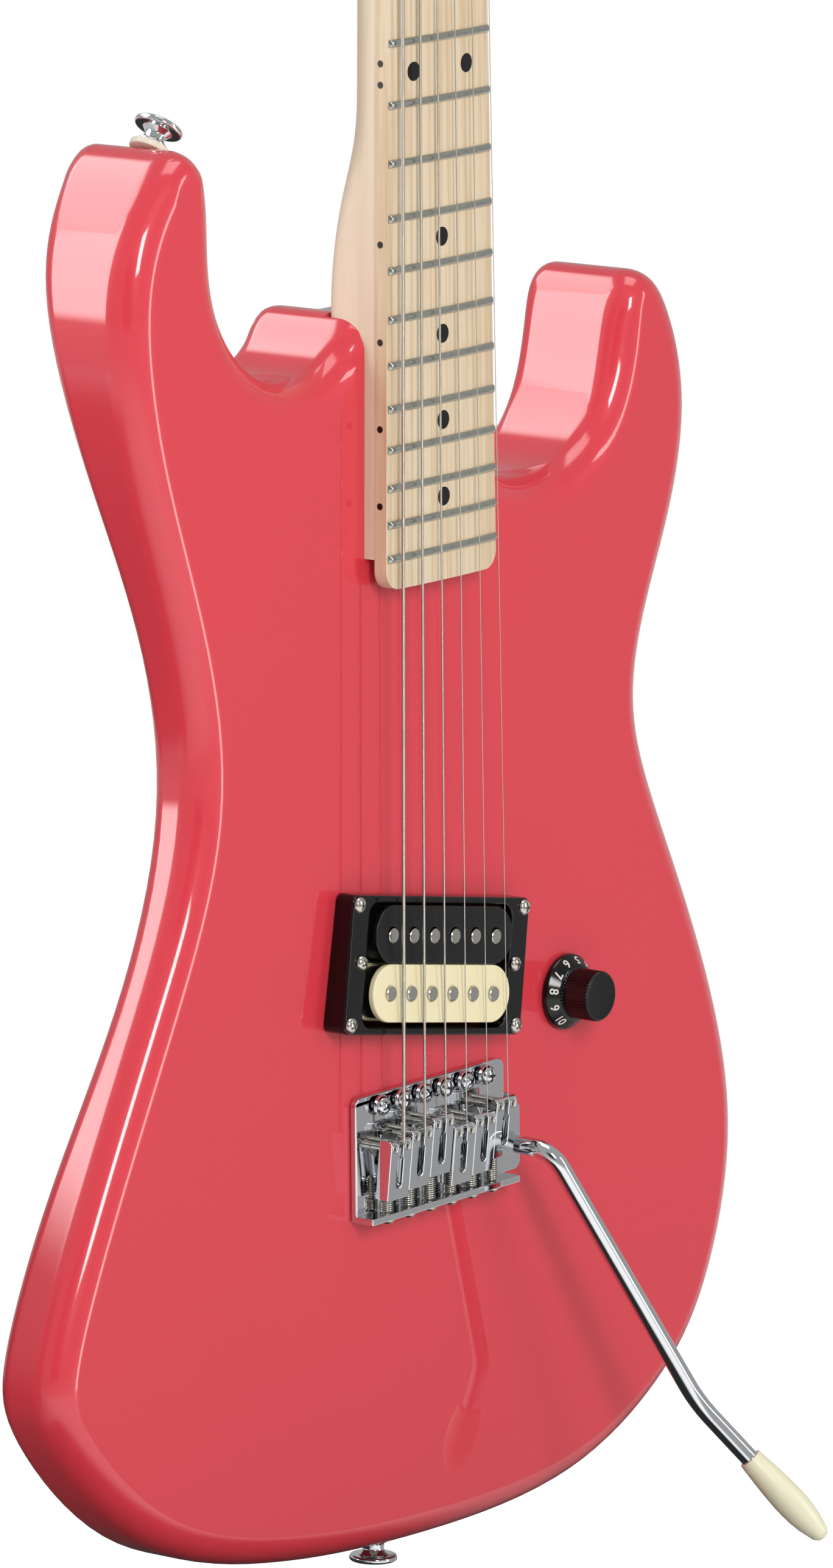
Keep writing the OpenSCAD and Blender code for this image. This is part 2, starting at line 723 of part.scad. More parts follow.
// Plan of the fingerboard with its rounded end, made smaller by cut on its sides
module board_plan(cut) {
    w = neck_w(board_end) / 2 - cut;
    arc = 2.6 * w;
    difference() {
        polygon([[-neck_w(0) / 2 + cut, 0], [neck_w(0) / 2 - cut, 0], [w, board_end], [-w, board_end]]);
        difference() {
            translate([-w - 1, board_end - 1]) square([2 * w + 2, 14]);
            translate([0, board_end + arc]) circle(arc, $fn = 96);
            translate([-w - 1, board_end + 9]) square([2 * w + 2, 20]);
        }
    }
}

// Inside of the cylinder that rounds the fingerboard's face, raised by up
module board_round(up) translate([0, board_y + board_r, board_end - 5])
    cylinder(h = -board_end + 10, r = board_r + up, $fn = 200);

module dot_spots() {
    for (n = face_dots) if (n < fret_count) translate([0, 0, (fret_z(n) + fret_z(n - 1)) / 2]) children();
    for (x = [-1, 1]) translate([0, board_y + board_r, (fret_z(octave) + fret_z(octave - 1)) / 2])
        rotate([0, 0, x * asin(octave_x / board_r)]) translate([0, -board_y - board_r, 0]) children();
}
module side_dot_spots() {
    octave_z = (fret_z(octave) + fret_z(octave - 1)) / 2;
    marks = [for (n = face_dots) if (n < fret_count) (fret_z(n) + fret_z(n - 1)) / 2];
    for (z = concat(marks, [octave_z - octave_side, octave_z + octave_side]))
        translate([-neck_w(z) / 2, glue_y - side_dot_d, z]) children();
}

module fingerboard() color(maple_board) difference() {
    intersection() {
        slab(board_y, glue_y) board_plan(0);
        board_round(0);
    }
    dot_spots() bar_y(board_y - 1, board_y + dot_depth, dot_d + 2 * seat);
    side_dot_spots() rotate([0, 90, 0]) bar_z(-1, dot_depth, side_dot_d + 2 * seat);
    for (n = [1:fret_count]) translate([-heel_w, board_y - 1, fret_z(n) - tang_w / 2 - seat])
        cube([2 * heel_w, tang_h + 1 + seat, tang_w + 2 * seat]);
}

// Frets: a round crown bent over the face, with a tang in its slot
module frets() color(nickel) for (n = [1:fret_count]) intersection() {
    union() {
        translate([0, board_y + board_r, fret_z(n)]) rotate([0, 0, -100]) rotate_extrude(angle = 20, $fn = 200)
            translate([board_r + seat / 2, 0]) intersection() {
                translate([fret_h - fret_w * 0.62, 0]) circle(fret_w * 0.62);
                translate([0, -fret_w / 2]) square([fret_h * 2, fret_w]);
            }
        intersection() {
            translate([-heel_w / 2, board_y - 0.2, fret_z(n) - tang_w / 2])
                cube([heel_w, tang_h + 0.2, tang_w]);
            board_round(fret_h / 2);
        }
    }
    slab(board_y - 5, glue_y) board_plan(0.4);
}

module position_dots() color(black) {
    dot_spots() bar_y(board_y, board_y + dot_depth - seat, dot_d);
    side_dot_spots() rotate([0, 90, 0]) bar_z(0.15, dot_depth - seat, side_dot_d);
}

module nut() color(bone) difference() {
    translate([-nut_w / 2, string_y_nut - 1.2, seat])
        cube([nut_w, glue_y - string_y_nut + 1.2 - seat, nut_t - seat]);
    for (i = [0:5]) translate([nut_x(i), string_y_nut, -1]) {
        bar_z(0, nut_t + 2, gauges[i] + 2 * seat);
        translate([-gauges[i] / 2 - seat, -5, 0]) cube([gauges[i] + 2 * seat, 5, nut_t + 2]);
    }
}

module truss_rod() color(steel) translate([0, rod_y, 0]) bar_z(heel_z + 14, heel_z + 14 + rod_l, rod_d);

module neck_plate() color(chrome) difference() {
    translate([0, 0, neck_plate_z]) slab(body_t, body_t + neck_plate_t)
        round_rect(neck_plate_w, neck_plate_l, neck_plate_r);
    for (x = [-1, 1], z = [-1, 1])
        translate([x * neck_screw_x, 0, neck_plate_z + z * neck_screw_z])
            bar_y(body_t - 1, body_t + neck_plate_t + 1, neck_screw_d + 2 * seat);
}

module neck_screws() color(chrome) for (x = [-1, 1], z = [-1, 1])
    translate([x * neck_screw_x, body_t + neck_plate_t, neck_plate_z + z * neck_screw_z]) rotate([180, 0, 0]) {
        cross_head(8.6, 2.6);
        bar_y(0, neck_screw_l - 4, neck_screw_d);
        translate([0, neck_screw_l - 4, 0]) rotate([-90, 0, 0]) cylinder(h = 4, d1 = neck_screw_d, d2 = 0.8);
    }

module pickup_ring() color(black) at_pickup() difference() {
    intersection() {
        translate([-ring_l / 2, 0, 0]) rotate([90, 0, 90]) linear_extrude(ring_l)
            polygon([[-seat, -ring_w / 2], [-ring_high, -ring_w / 2], [-ring_low, ring_w / 2], [-seat,
                ring_w / 2]]);
        slab(-20, 0) round_rect(ring_l, ring_w, ring_r);
    }
    slab(-20, 1) round_rect(open_l, open_w, 4);
    for (x = [-1, 1]) translate([x * (ring_l / 2 - height_screw_in), 0, pickup_dz])
        bar_y(-20, 1, height_screw_d + 0.3);
    for (x = [-1, 1], z = [-1, 1])
        translate([x * (ring_l / 2 - ring_screw_in), 0, z * (ring_w / 2 - ring_screw_in)])
            bar_y(-20, 1, screw_d + 0.2);
}

// Outline of one bobbin with round ends
module bobbin_plan(l, w) slot_2d([-(l - w) / 2, 0], [(l - w) / 2, 0], w / 2);
module pole_row(side) for (i = [0:5]) translate([(i - 2.5) * pole_pitch, 0, side * (bobbin_w / 2 + 0.1)])
    children();

module bobbin(side, hole_d) difference() {
    translate([0, 0, side * (bobbin_w / 2 + 0.1)]) {
        slab(0, flange_t) bobbin_plan(bobbin_l, bobbin_w);
        slab(flange_t, bobbin_h - flange_t) bobbin_plan(bobbin_l - bobbin_w + core_w, core_w);
        slab(bobbin_h - flange_t, bobbin_h) bobbin_plan(bobbin_l, bobbin_w);
    }
    pole_row(side) bar_y(-1, bobbin_h + 1, hole_d + 2 * seat);
}

module slug_bobbin() color(black) in_pickup() bobbin(1, slug_d);

module screw_bobbin() color(cream) in_pickup() difference() {
    bobbin(-1, pole_d);
    pole_row(-1) bar_y(-1, 0.6, pole_head_d + 2 * seat);
}

// Six plain slugs on the neck side and six slotted screws on the bridge side
module pole_pieces() color(nickel) in_pickup() {
    pole_row(1) bar_y(-0.2, bobbin_h + magnet_t - seat, slug_d);
    for (i = [0:5]) translate([(i - 2.5) * pole_pitch, 0, -bobbin_w / 2 - 0.1]) rotate([0, 25 + 37 * i, 0])
        difference() {
        union() {
            bar_y(-0.6, 0.6 - seat, pole_head_d);
            bar_y(0, pole_l, pole_d);
        }
        translate([-pole_head_d, -2, -0.4]) cube([2 * pole_head_d, 2, 0.8]);
    }
}

module pickup_magnet() color(steel) in_pickup() {
    row = bobbin_w / 2 + 0.1;
    low = -row + pole_d / 2 + seat;
    high = row - slug_d / 2 - seat;
    translate([-bobbin_l / 2 + 4, bobbin_h + seat, low]) cube([bobbin_l - 8, magnet_t - 2 * seat, high - low]);
}

module pickup_coils() color(copper) in_pickup() for (s = [-1, 1]) translate([0, 0, s * (bobbin_w / 2 + 0.1)])
    slab(flange_t + seat, bobbin_h - flange_t - seat) difference() {
        bobbin_plan(bobbin_l - 2, bobbin_w - 2);
        bobbin_plan(bobbin_l - bobbin_w + core_w + 2 * seat, core_w + 2 * seat);
    }

// Base plate with an ear at each end for the height screws
module pickup_baseplate() color(nickel) difference() {
    in_pickup() slab(bobbin_h + magnet_t, bobbin_h + magnet_t + base_t) {
        round_rect(bobbin_l, 2 * bobbin_w, 3);
        round_rect(ring_l - 7, 9, 2);
    }
    in_pickup() pole_row(-1) bar_y(0, 40, pole_d + 0.3);
    height_spots() bar_y(0, 40, height_screw_d + 2 * seat);
}

ring_mid = (ring_low + ring_high) / 2;
base_y = bobbin_h + magnet_t - pickup_h;
module height_spots() for (x = [-1, 1])
    at_pickup() translate([x * (ring_l / 2 - height_screw_in), 0, pickup_dz]) children();

module pickup_height_screws() color(nickel) height_spots() {
    translate([0, -ring_mid - seat, 0]) cross_head(5, 2);
    bar_y(-ring_mid - seat, -ring_mid + height_screw_l, height_screw_d);
}

module pickup_height_springs() color(steel) height_spots() difference() {
    bar_y(seat, base_y - 0.4, height_screw_d + 2.6);
    bar_y(-1, base_y + 1, height_screw_d + 1);
}

module volume_pot() color(steel) at_knob() difference() {
    union() {
        bar_y(front_wall + seat, front_wall + pot_t, pot_d);
        bar_y(-nut_h - 0.6, front_wall + 1, bushing_d);
        translate([-pot_lug_w / 2, front_wall + pot_lug_t, -pot_d / 2 - pot_lug_l])
            cube([pot_lug_w, pot_lug_t, pot_lug_l + 2]);
    }
    bar_y(-5, front_wall + pot_t - 2, shaft_d_pot + 2 * run);
}

module panel_nuts() color(chrome) {
    at_knob() translate([0, -seat, 0]) rotate([90, 0, 0]) nut_blank();
    on_edge(jack_u) translate([0, 0, -jack_plate_in + jack_plate_t + seat]) nut_blank();
}
// Hexagon nut of the pot or the jack
module nut_blank() difference() {
    cylinder(h = nut_h, d = nut_af * 2 / sqrt(3), $fn = 6);
    translate([0, 0, -1]) cylinder(h = nut_h + 2, d = bushing_d + 2 * seat);
}

module pot_shaft() color(steel) at_knob() bar_y(-knob_h + 2.5, front_wall + pot_t - 2.2, shaft_d_pot);

// Knob: low skirt, tapered neck and fluted grip, hollow over the nut
module volume_knob() color(black) at_knob() difference() {
    union() {
        rotate([90, 0, 0]) rotate_extrude() polygon([
            [0, knob_gap], [skirt_d / 2, knob_gap], [skirt_d / 2, knob_gap + 1.4],
            [grip_d / 2 + 1, knob_gap + skirt_h], [grip_d / 2, knob_gap + skirt_h], [grip_d / 2, knob_gap
                + knob_h - 0.8],
            [grip_d / 2 - 0.8, knob_gap + knob_h], [0, knob_gap + knob_h]
        ]);
    }
    bar_y(-nut_h - 1.4, 1, nut_af * 2 / sqrt(3) + 2);
    bar_y(-knob_h + 2, 1, shaft_d_pot + 2 * seat);
    for (a = [0:15:345]) rotate([0, a, 0]) translate([grip_d / 2 + 0.25, 0, 0])
        bar_y(-knob_h - 3, -knob_gap - skirt_h - 0.6, 1.2);
}

module control_cover() color(black) difference() {
    in_controls() slab(body_t, body_t + cover_t) slot_2d([0, 0], [norm(cav_way), 0], cover_r_out);
    control_cover_spots() bar_y(-1, cover_t + 1, screw_d + 0.2);
}

module spring_cover() color(black) difference() {
    at_bridge() translate([0, 0, spring_cover_z]) slab(body_t, body_t + cover_t)
        round_rect(spring_cover_w, spring_cover_l, cover_r);
    spring_cover_spots() bar_y(-1, cover_t + 1, screw_d + 0.2);
    // Slot for changing strings, behind the block
    at_bridge() translate([0, 0, -hole_back]) slab(body_t - 1, body_t + cover_t + 1)
        round_rect(5 * string_pitch + 8, 11, 5);
}

module wood_screws() color(nickel) {
    ring_screws() small_screw();
    spring_cover_spots() small_screw();
    control_cover_spots() small_screw();
    jack_plate_spots() small_screw();
    tuner_screw_spots() small_screw();
}

// Jack: threaded barrel through the plate, with its frame and springs as one block inside
module output_jack() color(nickel) on_edge(jack_u) difference() {
    union() {
        bar_z(-jack_plate_in - 1, jack_plate_t - jack_plate_in + nut_h + 1, jack_d);
        bar_z(-jack_plate_in - jack_l, -jack_plate_in - seat, jack_body_d);
    }
    bar_z(-jack_plate_in - jack_l + 2, 10, 2 * jack_bore);
}

module jack_plate() color(chrome) difference() {
    on_edge(jack_u) translate([0, 0, -jack_plate_in]) linear_extrude(jack_plate_t)
        round_rect(jack_plate_l, jack_plate_w, 5);
    on_edge(jack_u) bar_z(-20, 10, jack_d + 2 * seat);
    jack_plate_spots() bar_y(-1, jack_plate_t + 1, screw_d + 0.2);
}

// Hook-up wire from the pickup to the pot and from the pot to the jack
module wiring() color(black) {
    tab = [knob_x, wire_y, knob_z - pot_d / 2 - 4];
    turn = edge_at(jack_u) - edge_out(jack_u) * (jack_cav_l - 10);
    jack_in = edge_at(jack_u) - edge_out(jack_u) * (jack_plate_in + jack_l + 0.2);
    corner = [knob_x - wire_round * cos(45), wire_y, knob_z - wire_round * sin(45)];
    hot = [wire_from, wire_to, corner, tab];
    out = [tab + [4, 0, 0], [cav_end[0], body_t / 2, cav_end[1]], [turn[0], body_t / 2, turn[1]], [jack_in[0],
        body_t / 2, jack_in[1]]];
    at_bridge() for (route = [hot, out]) rod_chain(route, wire_d);
}

// Strap button: base, waist and rim, turned in one piece
module strap_buttons() color(chrome) for (u = [tail_u, horn_u]) on_edge(u) difference() {
    waist = (button_h - button_rim) / 3;
    edge = button_rim / 4;
    translate([0, 0, felt_t + seat]) rotate_extrude() polygon([
        [0, 0], [button_base_d / 2, 0], [button_base_d / 2, waist / 2], [button_neck_d / 2, waist],
        [button_neck_d / 2, 2 * waist], [button_base_d / 2, 3 * waist], [button_d / 2 - edge, 3 * waist],
        [button_d / 2, 3 * waist + edge], [button_d / 2, button_h - edge],
        [button_d / 2 - edge, button_h], [0, button_h]
    ]);
    bar_z(-1, felt_t + button_h + 1, strap_screw_d + 2 * seat);
    bar_z(felt_t + button_h - button_sink, felt_t + button_h + 1, 2 * strap_screw_d + 0.4);
}

module strap_screws() color(chrome) for (u = [tail_u, horn_u]) on_edge(u) {
    bar_z(-strap_screw_l + 1, felt_t + button_h - button_sink + 0.2, strap_screw_d);
    translate([0, 0, felt_t + button_h - button_sink + seat]) rotate([-90, 0, 0])
        cross_head(2 * strap_screw_d - 0.4, button_sink);
}

module strap_felts() color(bone) for (u = [tail_u, horn_u]) on_edge(u) difference() {
    bar_z(seat, felt_t, felt_d);
    bar_z(-1, felt_t + 1, strap_screw_d + 0.4);
}

// Plan of the bridge plate with the arm's ear on the treble side
module plate_plan() {
    len_front = plate_front + plate_rear;
    translate([0, (plate_front - plate_rear) / 2]) round_rect(2 * plate_x, len_front, plate_r);
    translate([-plate_x, -plate_rear]) square([2 * plate_x, 6]);
    translate([0, (lip_z - ear_front) / 2]) translate([(ear_x) / 2, 0])
        round_rect(ear_x, -lip_z - ear_front, plate_r);
}

module bridge_plate() color(chrome) at_bridge() difference() {
    union() {
        slab(plate_y, plate_y + plate_t) plate_plan();
        translate([-plate_x, plate_y - lip_h, -plate_rear]) cube([2 * plate_x, lip_h + 1, lip_t]);
        translate([arm_x, 0, arm_z]) bar_y(plate_y + 1, boss_h, boss_d);
    }
    for (i = [0:5]) {
        translate([bridge_x(i), 0, pivot_z]) bar_y(-20, 10, pivot_d + 2 * free);
        translate([bridge_x(i), 0, -hole_back]) bar_y(plate_y - 1, 5, slot_w);
        translate([bridge_x(i), into_y, 0]) bar_z(-plate_rear - 1, lip_z + 1, into_d + 0.4);
    }
    block_screw_spots() rotate([-90, 0, 0])
        cylinder(h = 3, d1 = 2 * block_screw_d + 0.2, d2 = block_screw_d + 0.2);
    block_screw_spots() bar_y(-1, 5, block_screw_d + 0.2);
    translate([arm_x, 0, arm_z]) bar_y(-20, boss_h + 1, arm_d + 2 * run);
}

module block_screw_spots() for (i = [0, 2, 4])
    translate([bridge_x(i) + string_pitch / 2, plate_y, -block_front - 2.6]) children();

module bridge_block() color(steel) at_bridge() difference() {
    translate([-block_w / 2, plate_y + plate_t, -block_front - block_t]) cube([block_w, block_h, block_t]);
    for (i = [0:5]) translate([bridge_x(i), 0, -hole_back]) {
        bar_y(-5, block_h, slot_w);
        bar_y(block_h - ball_depth, block_h + 5, ball_d + 0.6);
    }
    block_screw_spots() bar_y(-1, 20, block_screw_d + 2 * seat);
    translate([arm_x, 0, arm_z]) bar_y(-5, boss_h + 1, boss_d + 2 * seat);
    for (k = [0:spring_n - 1]) translate([(k - (spring_n - 1) / 2) * spring_x, spring_y, 0])
        bar_z(-block_front - 6, 1, 2.4);
}

module block_screws() color(steel) at_bridge() block_screw_spots() {
    rotate([-90, 0, 0]) translate([0, 0, 0.05])
        cylinder(h = 2.6, d1 = 2 * block_screw_d - 0.4, d2 = block_screw_d - 0.2);
    bar_y(0.5, 16, block_screw_d);
}

// Frame of one saddle: z = 0 where the string breaks, y = 0 on the saddle's top, sloping down behind
module in_saddle(i) at_bridge() translate([bridge_x(i), -string_h + gauges[i] / 2 + seat, -saddle_back[i]])
    rotate([saddle_drop, 0, 0]) children();

module saddle(i) difference() {
    in_saddle(i) difference() {
        translate([-saddle_w / 2, 0, 0]) rotate([90, 0, 90]) linear_extrude(saddle_w) difference() {
            translate([0, saddle_nose - saddle_l]) square([flank_h, saddle_l]);
            difference() {
                translate([-1, saddle_nose - 1.6]) square([2.6, 2.6]);
                translate([1.6, saddle_nose - 1.6]) circle(1.6);
            }
        }
        translate([-saddle_w / 2 + saddle_wall, saddle_t, saddle_nose - saddle_l + saddle_wall])
            cube([saddle_w - 2 * saddle_wall, 20, saddle_l]);
        // Keyhole slot for the string
        slab(-1, saddle_t + 1) {
            slot_2d([0, -slot_start - slot_w / 2], [0, -slot_end + slot_w / 2], slot_w / 2);
            translate([-slot_neck / 2, -slot_start - 1]) square([slot_neck, slot_start + 1.2]);
        }
    }
    at_bridge() for (x = [-1, 1]) translate([bridge_x(i) + x * set_x, 0, -saddle_back[i] - set_back])
        bar_y(-string_h - 5, 0, set_d + 2 * seat);
    at_bridge() translate([bridge_x(i), into_y, -saddle_back[i] - 26]) bar_z(0, 14, into_d + 2 * seat);
}
module saddles() color(chrome) for (i = [0:5]) saddle(i);

module saddle_height_screws() color(nickel) at_bridge() for (i = [0:5], x = [-1, 1])
    translate([bridge_x(i) + x * set_x, 0, -saddle_back[i] - set_back])
        difference() {
            top = -string_h + gauges[i] / 2 + 0.3;
            bar_y(top, plate_y - seat, set_d);
            translate([0, top + set_socket, 0]) rotate([90, 0, 0])
                cylinder(h = 2 * set_socket, d = set_hex, $fn = 6);
        }

module intonation_screws() color(nickel) at_bridge() for (i = [0:5]) translate([bridge_x(i), into_y, 0]) {
    bar_z(-plate_rear - 0.5, -saddle_back[i] - slot_end + 3.2, into_d);
    translate([0, 0, -plate_rear - seat]) rotate([90, 0, 0]) cross_head(into_head_d, 2);
}

module intonation_springs() color(nickel) at_bridge() for (i = [0:5]) translate([bridge_x(i), into_y, 0]) {
    stop = -saddle_back[i] + saddle_nose - saddle_l * cos(saddle_drop) - flank_h * sin(saddle_drop) - 0.1;
    difference() {
        bar_z(lip_z + seat, stop, into_d + 2);
        bar_z(lip_z - 1, stop + 1, into_d + 0.6);
    }
}

module pivot_screws() color(chrome) at_bridge() for (i = [0:5]) translate([bridge_x(i), 0, pivot_z]) {
    bar_y(plate_y - pivot_gap, pivot_l - 4, pivot_d);
    translate([0, pivot_l - 4, 0]) rotate([-90, 0, 0]) cylinder(h = 3.6, d1 = pivot_d, d2 = 0.8);
    translate([0, plate_y - pivot_gap, 0]) bar_y(-0.9, 0, pivot_head_d);
    translate([0, plate_y - pivot_gap - 0.9, 0]) cross_head(pivot_head_d - 0.4, 2.4);
}

// Springs between the block and the claw: close coils as a tube, with straight ends
module bridge_springs() color(steel) at_bridge() for (k = [0:spring_n - 1])
    translate([(k - (spring_n - 1) / 2) * spring_x, spring_y, 0]) {
        difference() {
            bar_z(4, claw_z - 12, spring_d);
            bar_z(5, claw_z - 13, spring_d - 2.6);
        }
        bar_z(-block_front - 4, 4.5, 1.4);
        bar_z(claw_z - 12.5, claw_z - seat, 1.4);
    }

module spring_claw() color(steel) at_bridge() difference() {
    translate([-claw_w / 2, spring_y - claw_h / 2, claw_z]) cube([claw_w, claw_h, claw_t]);
    for (x = [-1, 1]) translate([x * claw_screw_x, spring_y, 0])
        bar_z(claw_z - 1, claw_z + claw_t + 1, claw_screw_d + 0.3);
}

module claw_screws() color(steel) at_bridge() for (x = [-1, 1]) translate([x * claw_screw_x, spring_y, 0]) {
    bar_z(claw_z - 0.5, claw_z + claw_screw_l, claw_screw_d);
    translate([0, 0, claw_z - seat]) rotate([90, 0, 0]) cross_head(8, 2.6);
}

// Points of the arm in its own plane: distance from the upright axis, and height above the body
bend_in = arm_bend * tan((90 - arm_slope) / 2);
knee_in = knee_bend * tan((tip_slope - arm_slope) / 2);
function along(slope) = [cos(slope), sin(slope)];
arm_knee = [0, arm_rise] + arm_run * along(arm_slope);
arm_end = arm_knee + tip_run * along(tip_slope);
function arm_abs(p) = [arm_x + p[0] * sin(arm_turn), -p[1], arm_z - p[0] * cos(arm_turn) - scale_len];
module in_arm() translate([arm_x, 0, arm_z - scale_len]) rotate([0, 180 - arm_turn, 0]) children();

// Bent stretch of the arm's rod in its own plane, a hair thicker than the straight stretches in its ends
module arm_arc(r, from, turn) rotate([90, 0, 90]) rotate([0, 0, from]) rotate_extrude(angle = turn, $fn = 96)
    translate([r, 0]) circle(d = arm_d + seat);

module vibrato_arm() color(chrome) {
    rise_end = [0, arm_rise - bend_in];
    run_start = bend_in * along(arm_slope) + [0, arm_rise];
    run_end = arm_knee - knee_in * along(arm_slope);
    tip_start = arm_knee + knee_in * along(tip_slope);
    rod(arm_abs([0, -boss_h + 1]), arm_abs(rise_end + [0, arm_lap]), arm_d);
    in_arm() translate([0, -rise_end[1], arm_bend]) arm_arc(arm_bend, 180 + arm_slope, 90 - arm_slope);
    rod(arm_abs(run_start - arm_lap * along(arm_slope)), arm_abs(run_end + arm_lap * along(arm_slope)), arm_d);
    in_arm() translate([0, -run_end[1] - knee_bend * cos(arm_slope), run_end[0] - knee_bend * sin(arm_slope)])
        arm_arc(knee_bend, arm_slope, tip_slope - arm_slope);
    rod(arm_abs(tip_start - arm_lap * along(tip_slope)), arm_abs(arm_end - (tip_l
        - tip_in) * along(tip_slope)), arm_d);
}

// Frame along the arm's end: z = 0 where the tip starts, +z towards its end
module along_tip() {
    start = arm_abs(arm_end - tip_l * along(tip_slope));
    v = arm_abs(arm_end) - start;
    translate(start) rotate([0, acos(v[2] / norm(v)), atan2(v[1], v[0])]) children();
}

module arm_tip() color(cream) along_tip() difference() {
    rotate_extrude() polygon(concat(
        [[0, 0], [arm_d / 2 + 0.9, 0]],
        [for (k = [1:9]) let (t = k / 9) [
            arm_d / 2 + 0.9 + (tip_d / 2 - arm_d / 2 - 0.9) * sin(90 * min(1, t * 1.5))
                - tip_d * 0.16 * pow(max(0, t - 0.5) * 2, 3),
            (tip_l - 4) * t
        ]],
        [for (a = [30:30:90]) [tip_d * 0.34 * cos(a), tip_l - 4 + 4 * sin(a)]]
    ));
    bar_z(-1, tip_in + 0.1, arm_d + 2 * tip_wall);
}

// One string: ball end in the block, up through the saddle, over the nut and round its post
module guitar_string(i) {
    d = gauges[i];
    ball = [bridge_x(i), block_h - ball_depth + ball_l / 2 + seat, -hole_back - scale_len];
    hole = [bridge_x(i), plate_y + 1.4, -hole_back - scale_len];
    break_at = [bridge_x(i), -string_h, -saddle_back[i] - scale_len];
    nut_low = [nut_x(i), string_y_nut, 0];
    nut_high = [nut_x(i), string_y_nut, nut_t];
    post = head_abs([nut_x(i), wrap_y, tuner_z(i)]);
    path = [ball, hole, break_at, nut_low, nut_high, post];
    rod_chain(path, d);
    translate(ball) bar_y(-ball_l / 2, ball_l / 2, ball_d);
    at_tuner(i) difference() {
        bar_y(wrap_y - d, wrap_y + (wraps - 1) * d, post_d + 2 * seat + 2 * d * wrap_wall);
        bar_y(wrap_y - 5, wrap_y + 9, post_d + 2 * seat);
    }
}
module wound_strings() color(steel) for (i = [0:2]) guitar_string(i);
module plain_strings() color(nickel) for (i = [3:5]) guitar_string(i);

// Tuner housing: closed box under the headstock with a lug for its screw
module tuner_housings() color(chrome) for (i = [0:5]) at_tuner(i) difference() {
    union() {
        translate([-house_w / 2, head_t + seat, -house_l / 2 + gear_off / 2]) cube([house_w, house_t, house_l]);
        translate([house_w / 2 - 1, head_t + seat, -3.4]) cube([8, 1.6, 6.8]);
    }
    translate([-house_w / 2 + house_wall, head_t - 1, -house_l / 2 + gear_off / 2 + house_wall])
        cube([house_w - 2 * house_wall, house_t + 1 - house_wall, house_l - 2 * house_wall]);
    translate([0, head_t + house_t / 2, gear_off]) rotate([0, -90, 0]) bar_z(0, house_w, key_d + 2 * run);
    translate([house_w / 2 + 3, 0, 0]) bar_y(head_t - 1, head_t + 4, screw_d + 0.2);
}

module tuner_bushings() color(chrome) for (i = [0:5]) at_tuner(i) difference() {
    union() {
        bar_y(-bush_rim_t, -seat, bush_rim_d);
        bar_y(-0.5, head_t - seat, post_seat_d);
    }
    bar_y(-5, head_t + 5, post_d + 2 * run);
}

// Post with its gear wheel under the headstock
module tuner_post(i) color(chrome) at_tuner(i) difference() {
    union() {
        bar_y(-post_h, head_t + house_t - house_wall - 0.4, post_d);
        bar_y(head_t + house_t / 2 - gear_t / 2, head_t + house_t / 2 + gear_t / 2, gear_d);
    }
    translate([0, -post_h + 1.6, 0]) rotate([0, 90, 0]) translate([0, 0, -5]) cylinder(h = 10, d = 1.8);
}

// Key with its shaft and worm
module tuner_key(i) color(chrome) at_tuner(i) translate([0, head_t + house_t / 2, gear_off])
    rotate([0, -90, 0]) {
    bar_z(-house_w / 2 + house_wall + 0.3, key_reach - key_h / 2 + 1, key_d);
    bar_z(-3.6, house_w / 2 - house_wall - 0.5, worm_d);
    bar_z(house_w / 2 + 0.4, house_w / 2 + 2.4, 6);
    translate([0, 0, key_reach]) slab(-key_t / 2, key_t / 2) round_rect(key_w, key_h, 5);
}

body();
neck();
fingerboard();
frets();
position_dots();
nut();
truss_rod();
neck_plate();
neck_screws();
pickup_ring();
pickup_baseplate();
slug_bobbin();
screw_bobbin();
pole_pieces();
pickup_magnet();
pickup_coils();
pickup_height_screws();
pickup_height_springs();
volume_pot();
panel_nuts();
pot_shaft();
volume_knob();
control_cover();
spring_cover();
wood_screws();
output_jack();
jack_plate();
wiring();
strap_buttons();
strap_screws();
strap_felts();
bridge_plate();
bridge_block();
saddles();
saddle_height_screws();
intonation_screws();
intonation_springs();
pivot_screws();
block_screws();
bridge_springs();
spring_claw();
claw_screws();
vibrato_arm();
arm_tip();
wound_strings();
plain_strings();
tuner_housings();
tuner_bushings();
tuner_key(0);  // tuner_key_1
tuner_key(1);  // tuner_key_2
tuner_key(2);  // tuner_key_3
tuner_key(3);  // tuner_key_4
tuner_key(4);  // tuner_key_5
tuner_key(5);  // tuner_key_6
tuner_post(0);  // tuner_post_1
tuner_post(1);  // tuner_post_2
tuner_post(2);  // tuner_post_3
tuner_post(3);  // tuner_post_4
tuner_post(4);  // tuner_post_5
tuner_post(5);  // tuner_post_6
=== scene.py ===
import bpy
import bmesh
import json
import numpy as np
from math import atan, atan2, cos, floor, pi, radians, sin, tan
from mathutils import Matrix, Vector
from types import SimpleNamespace as Sizes


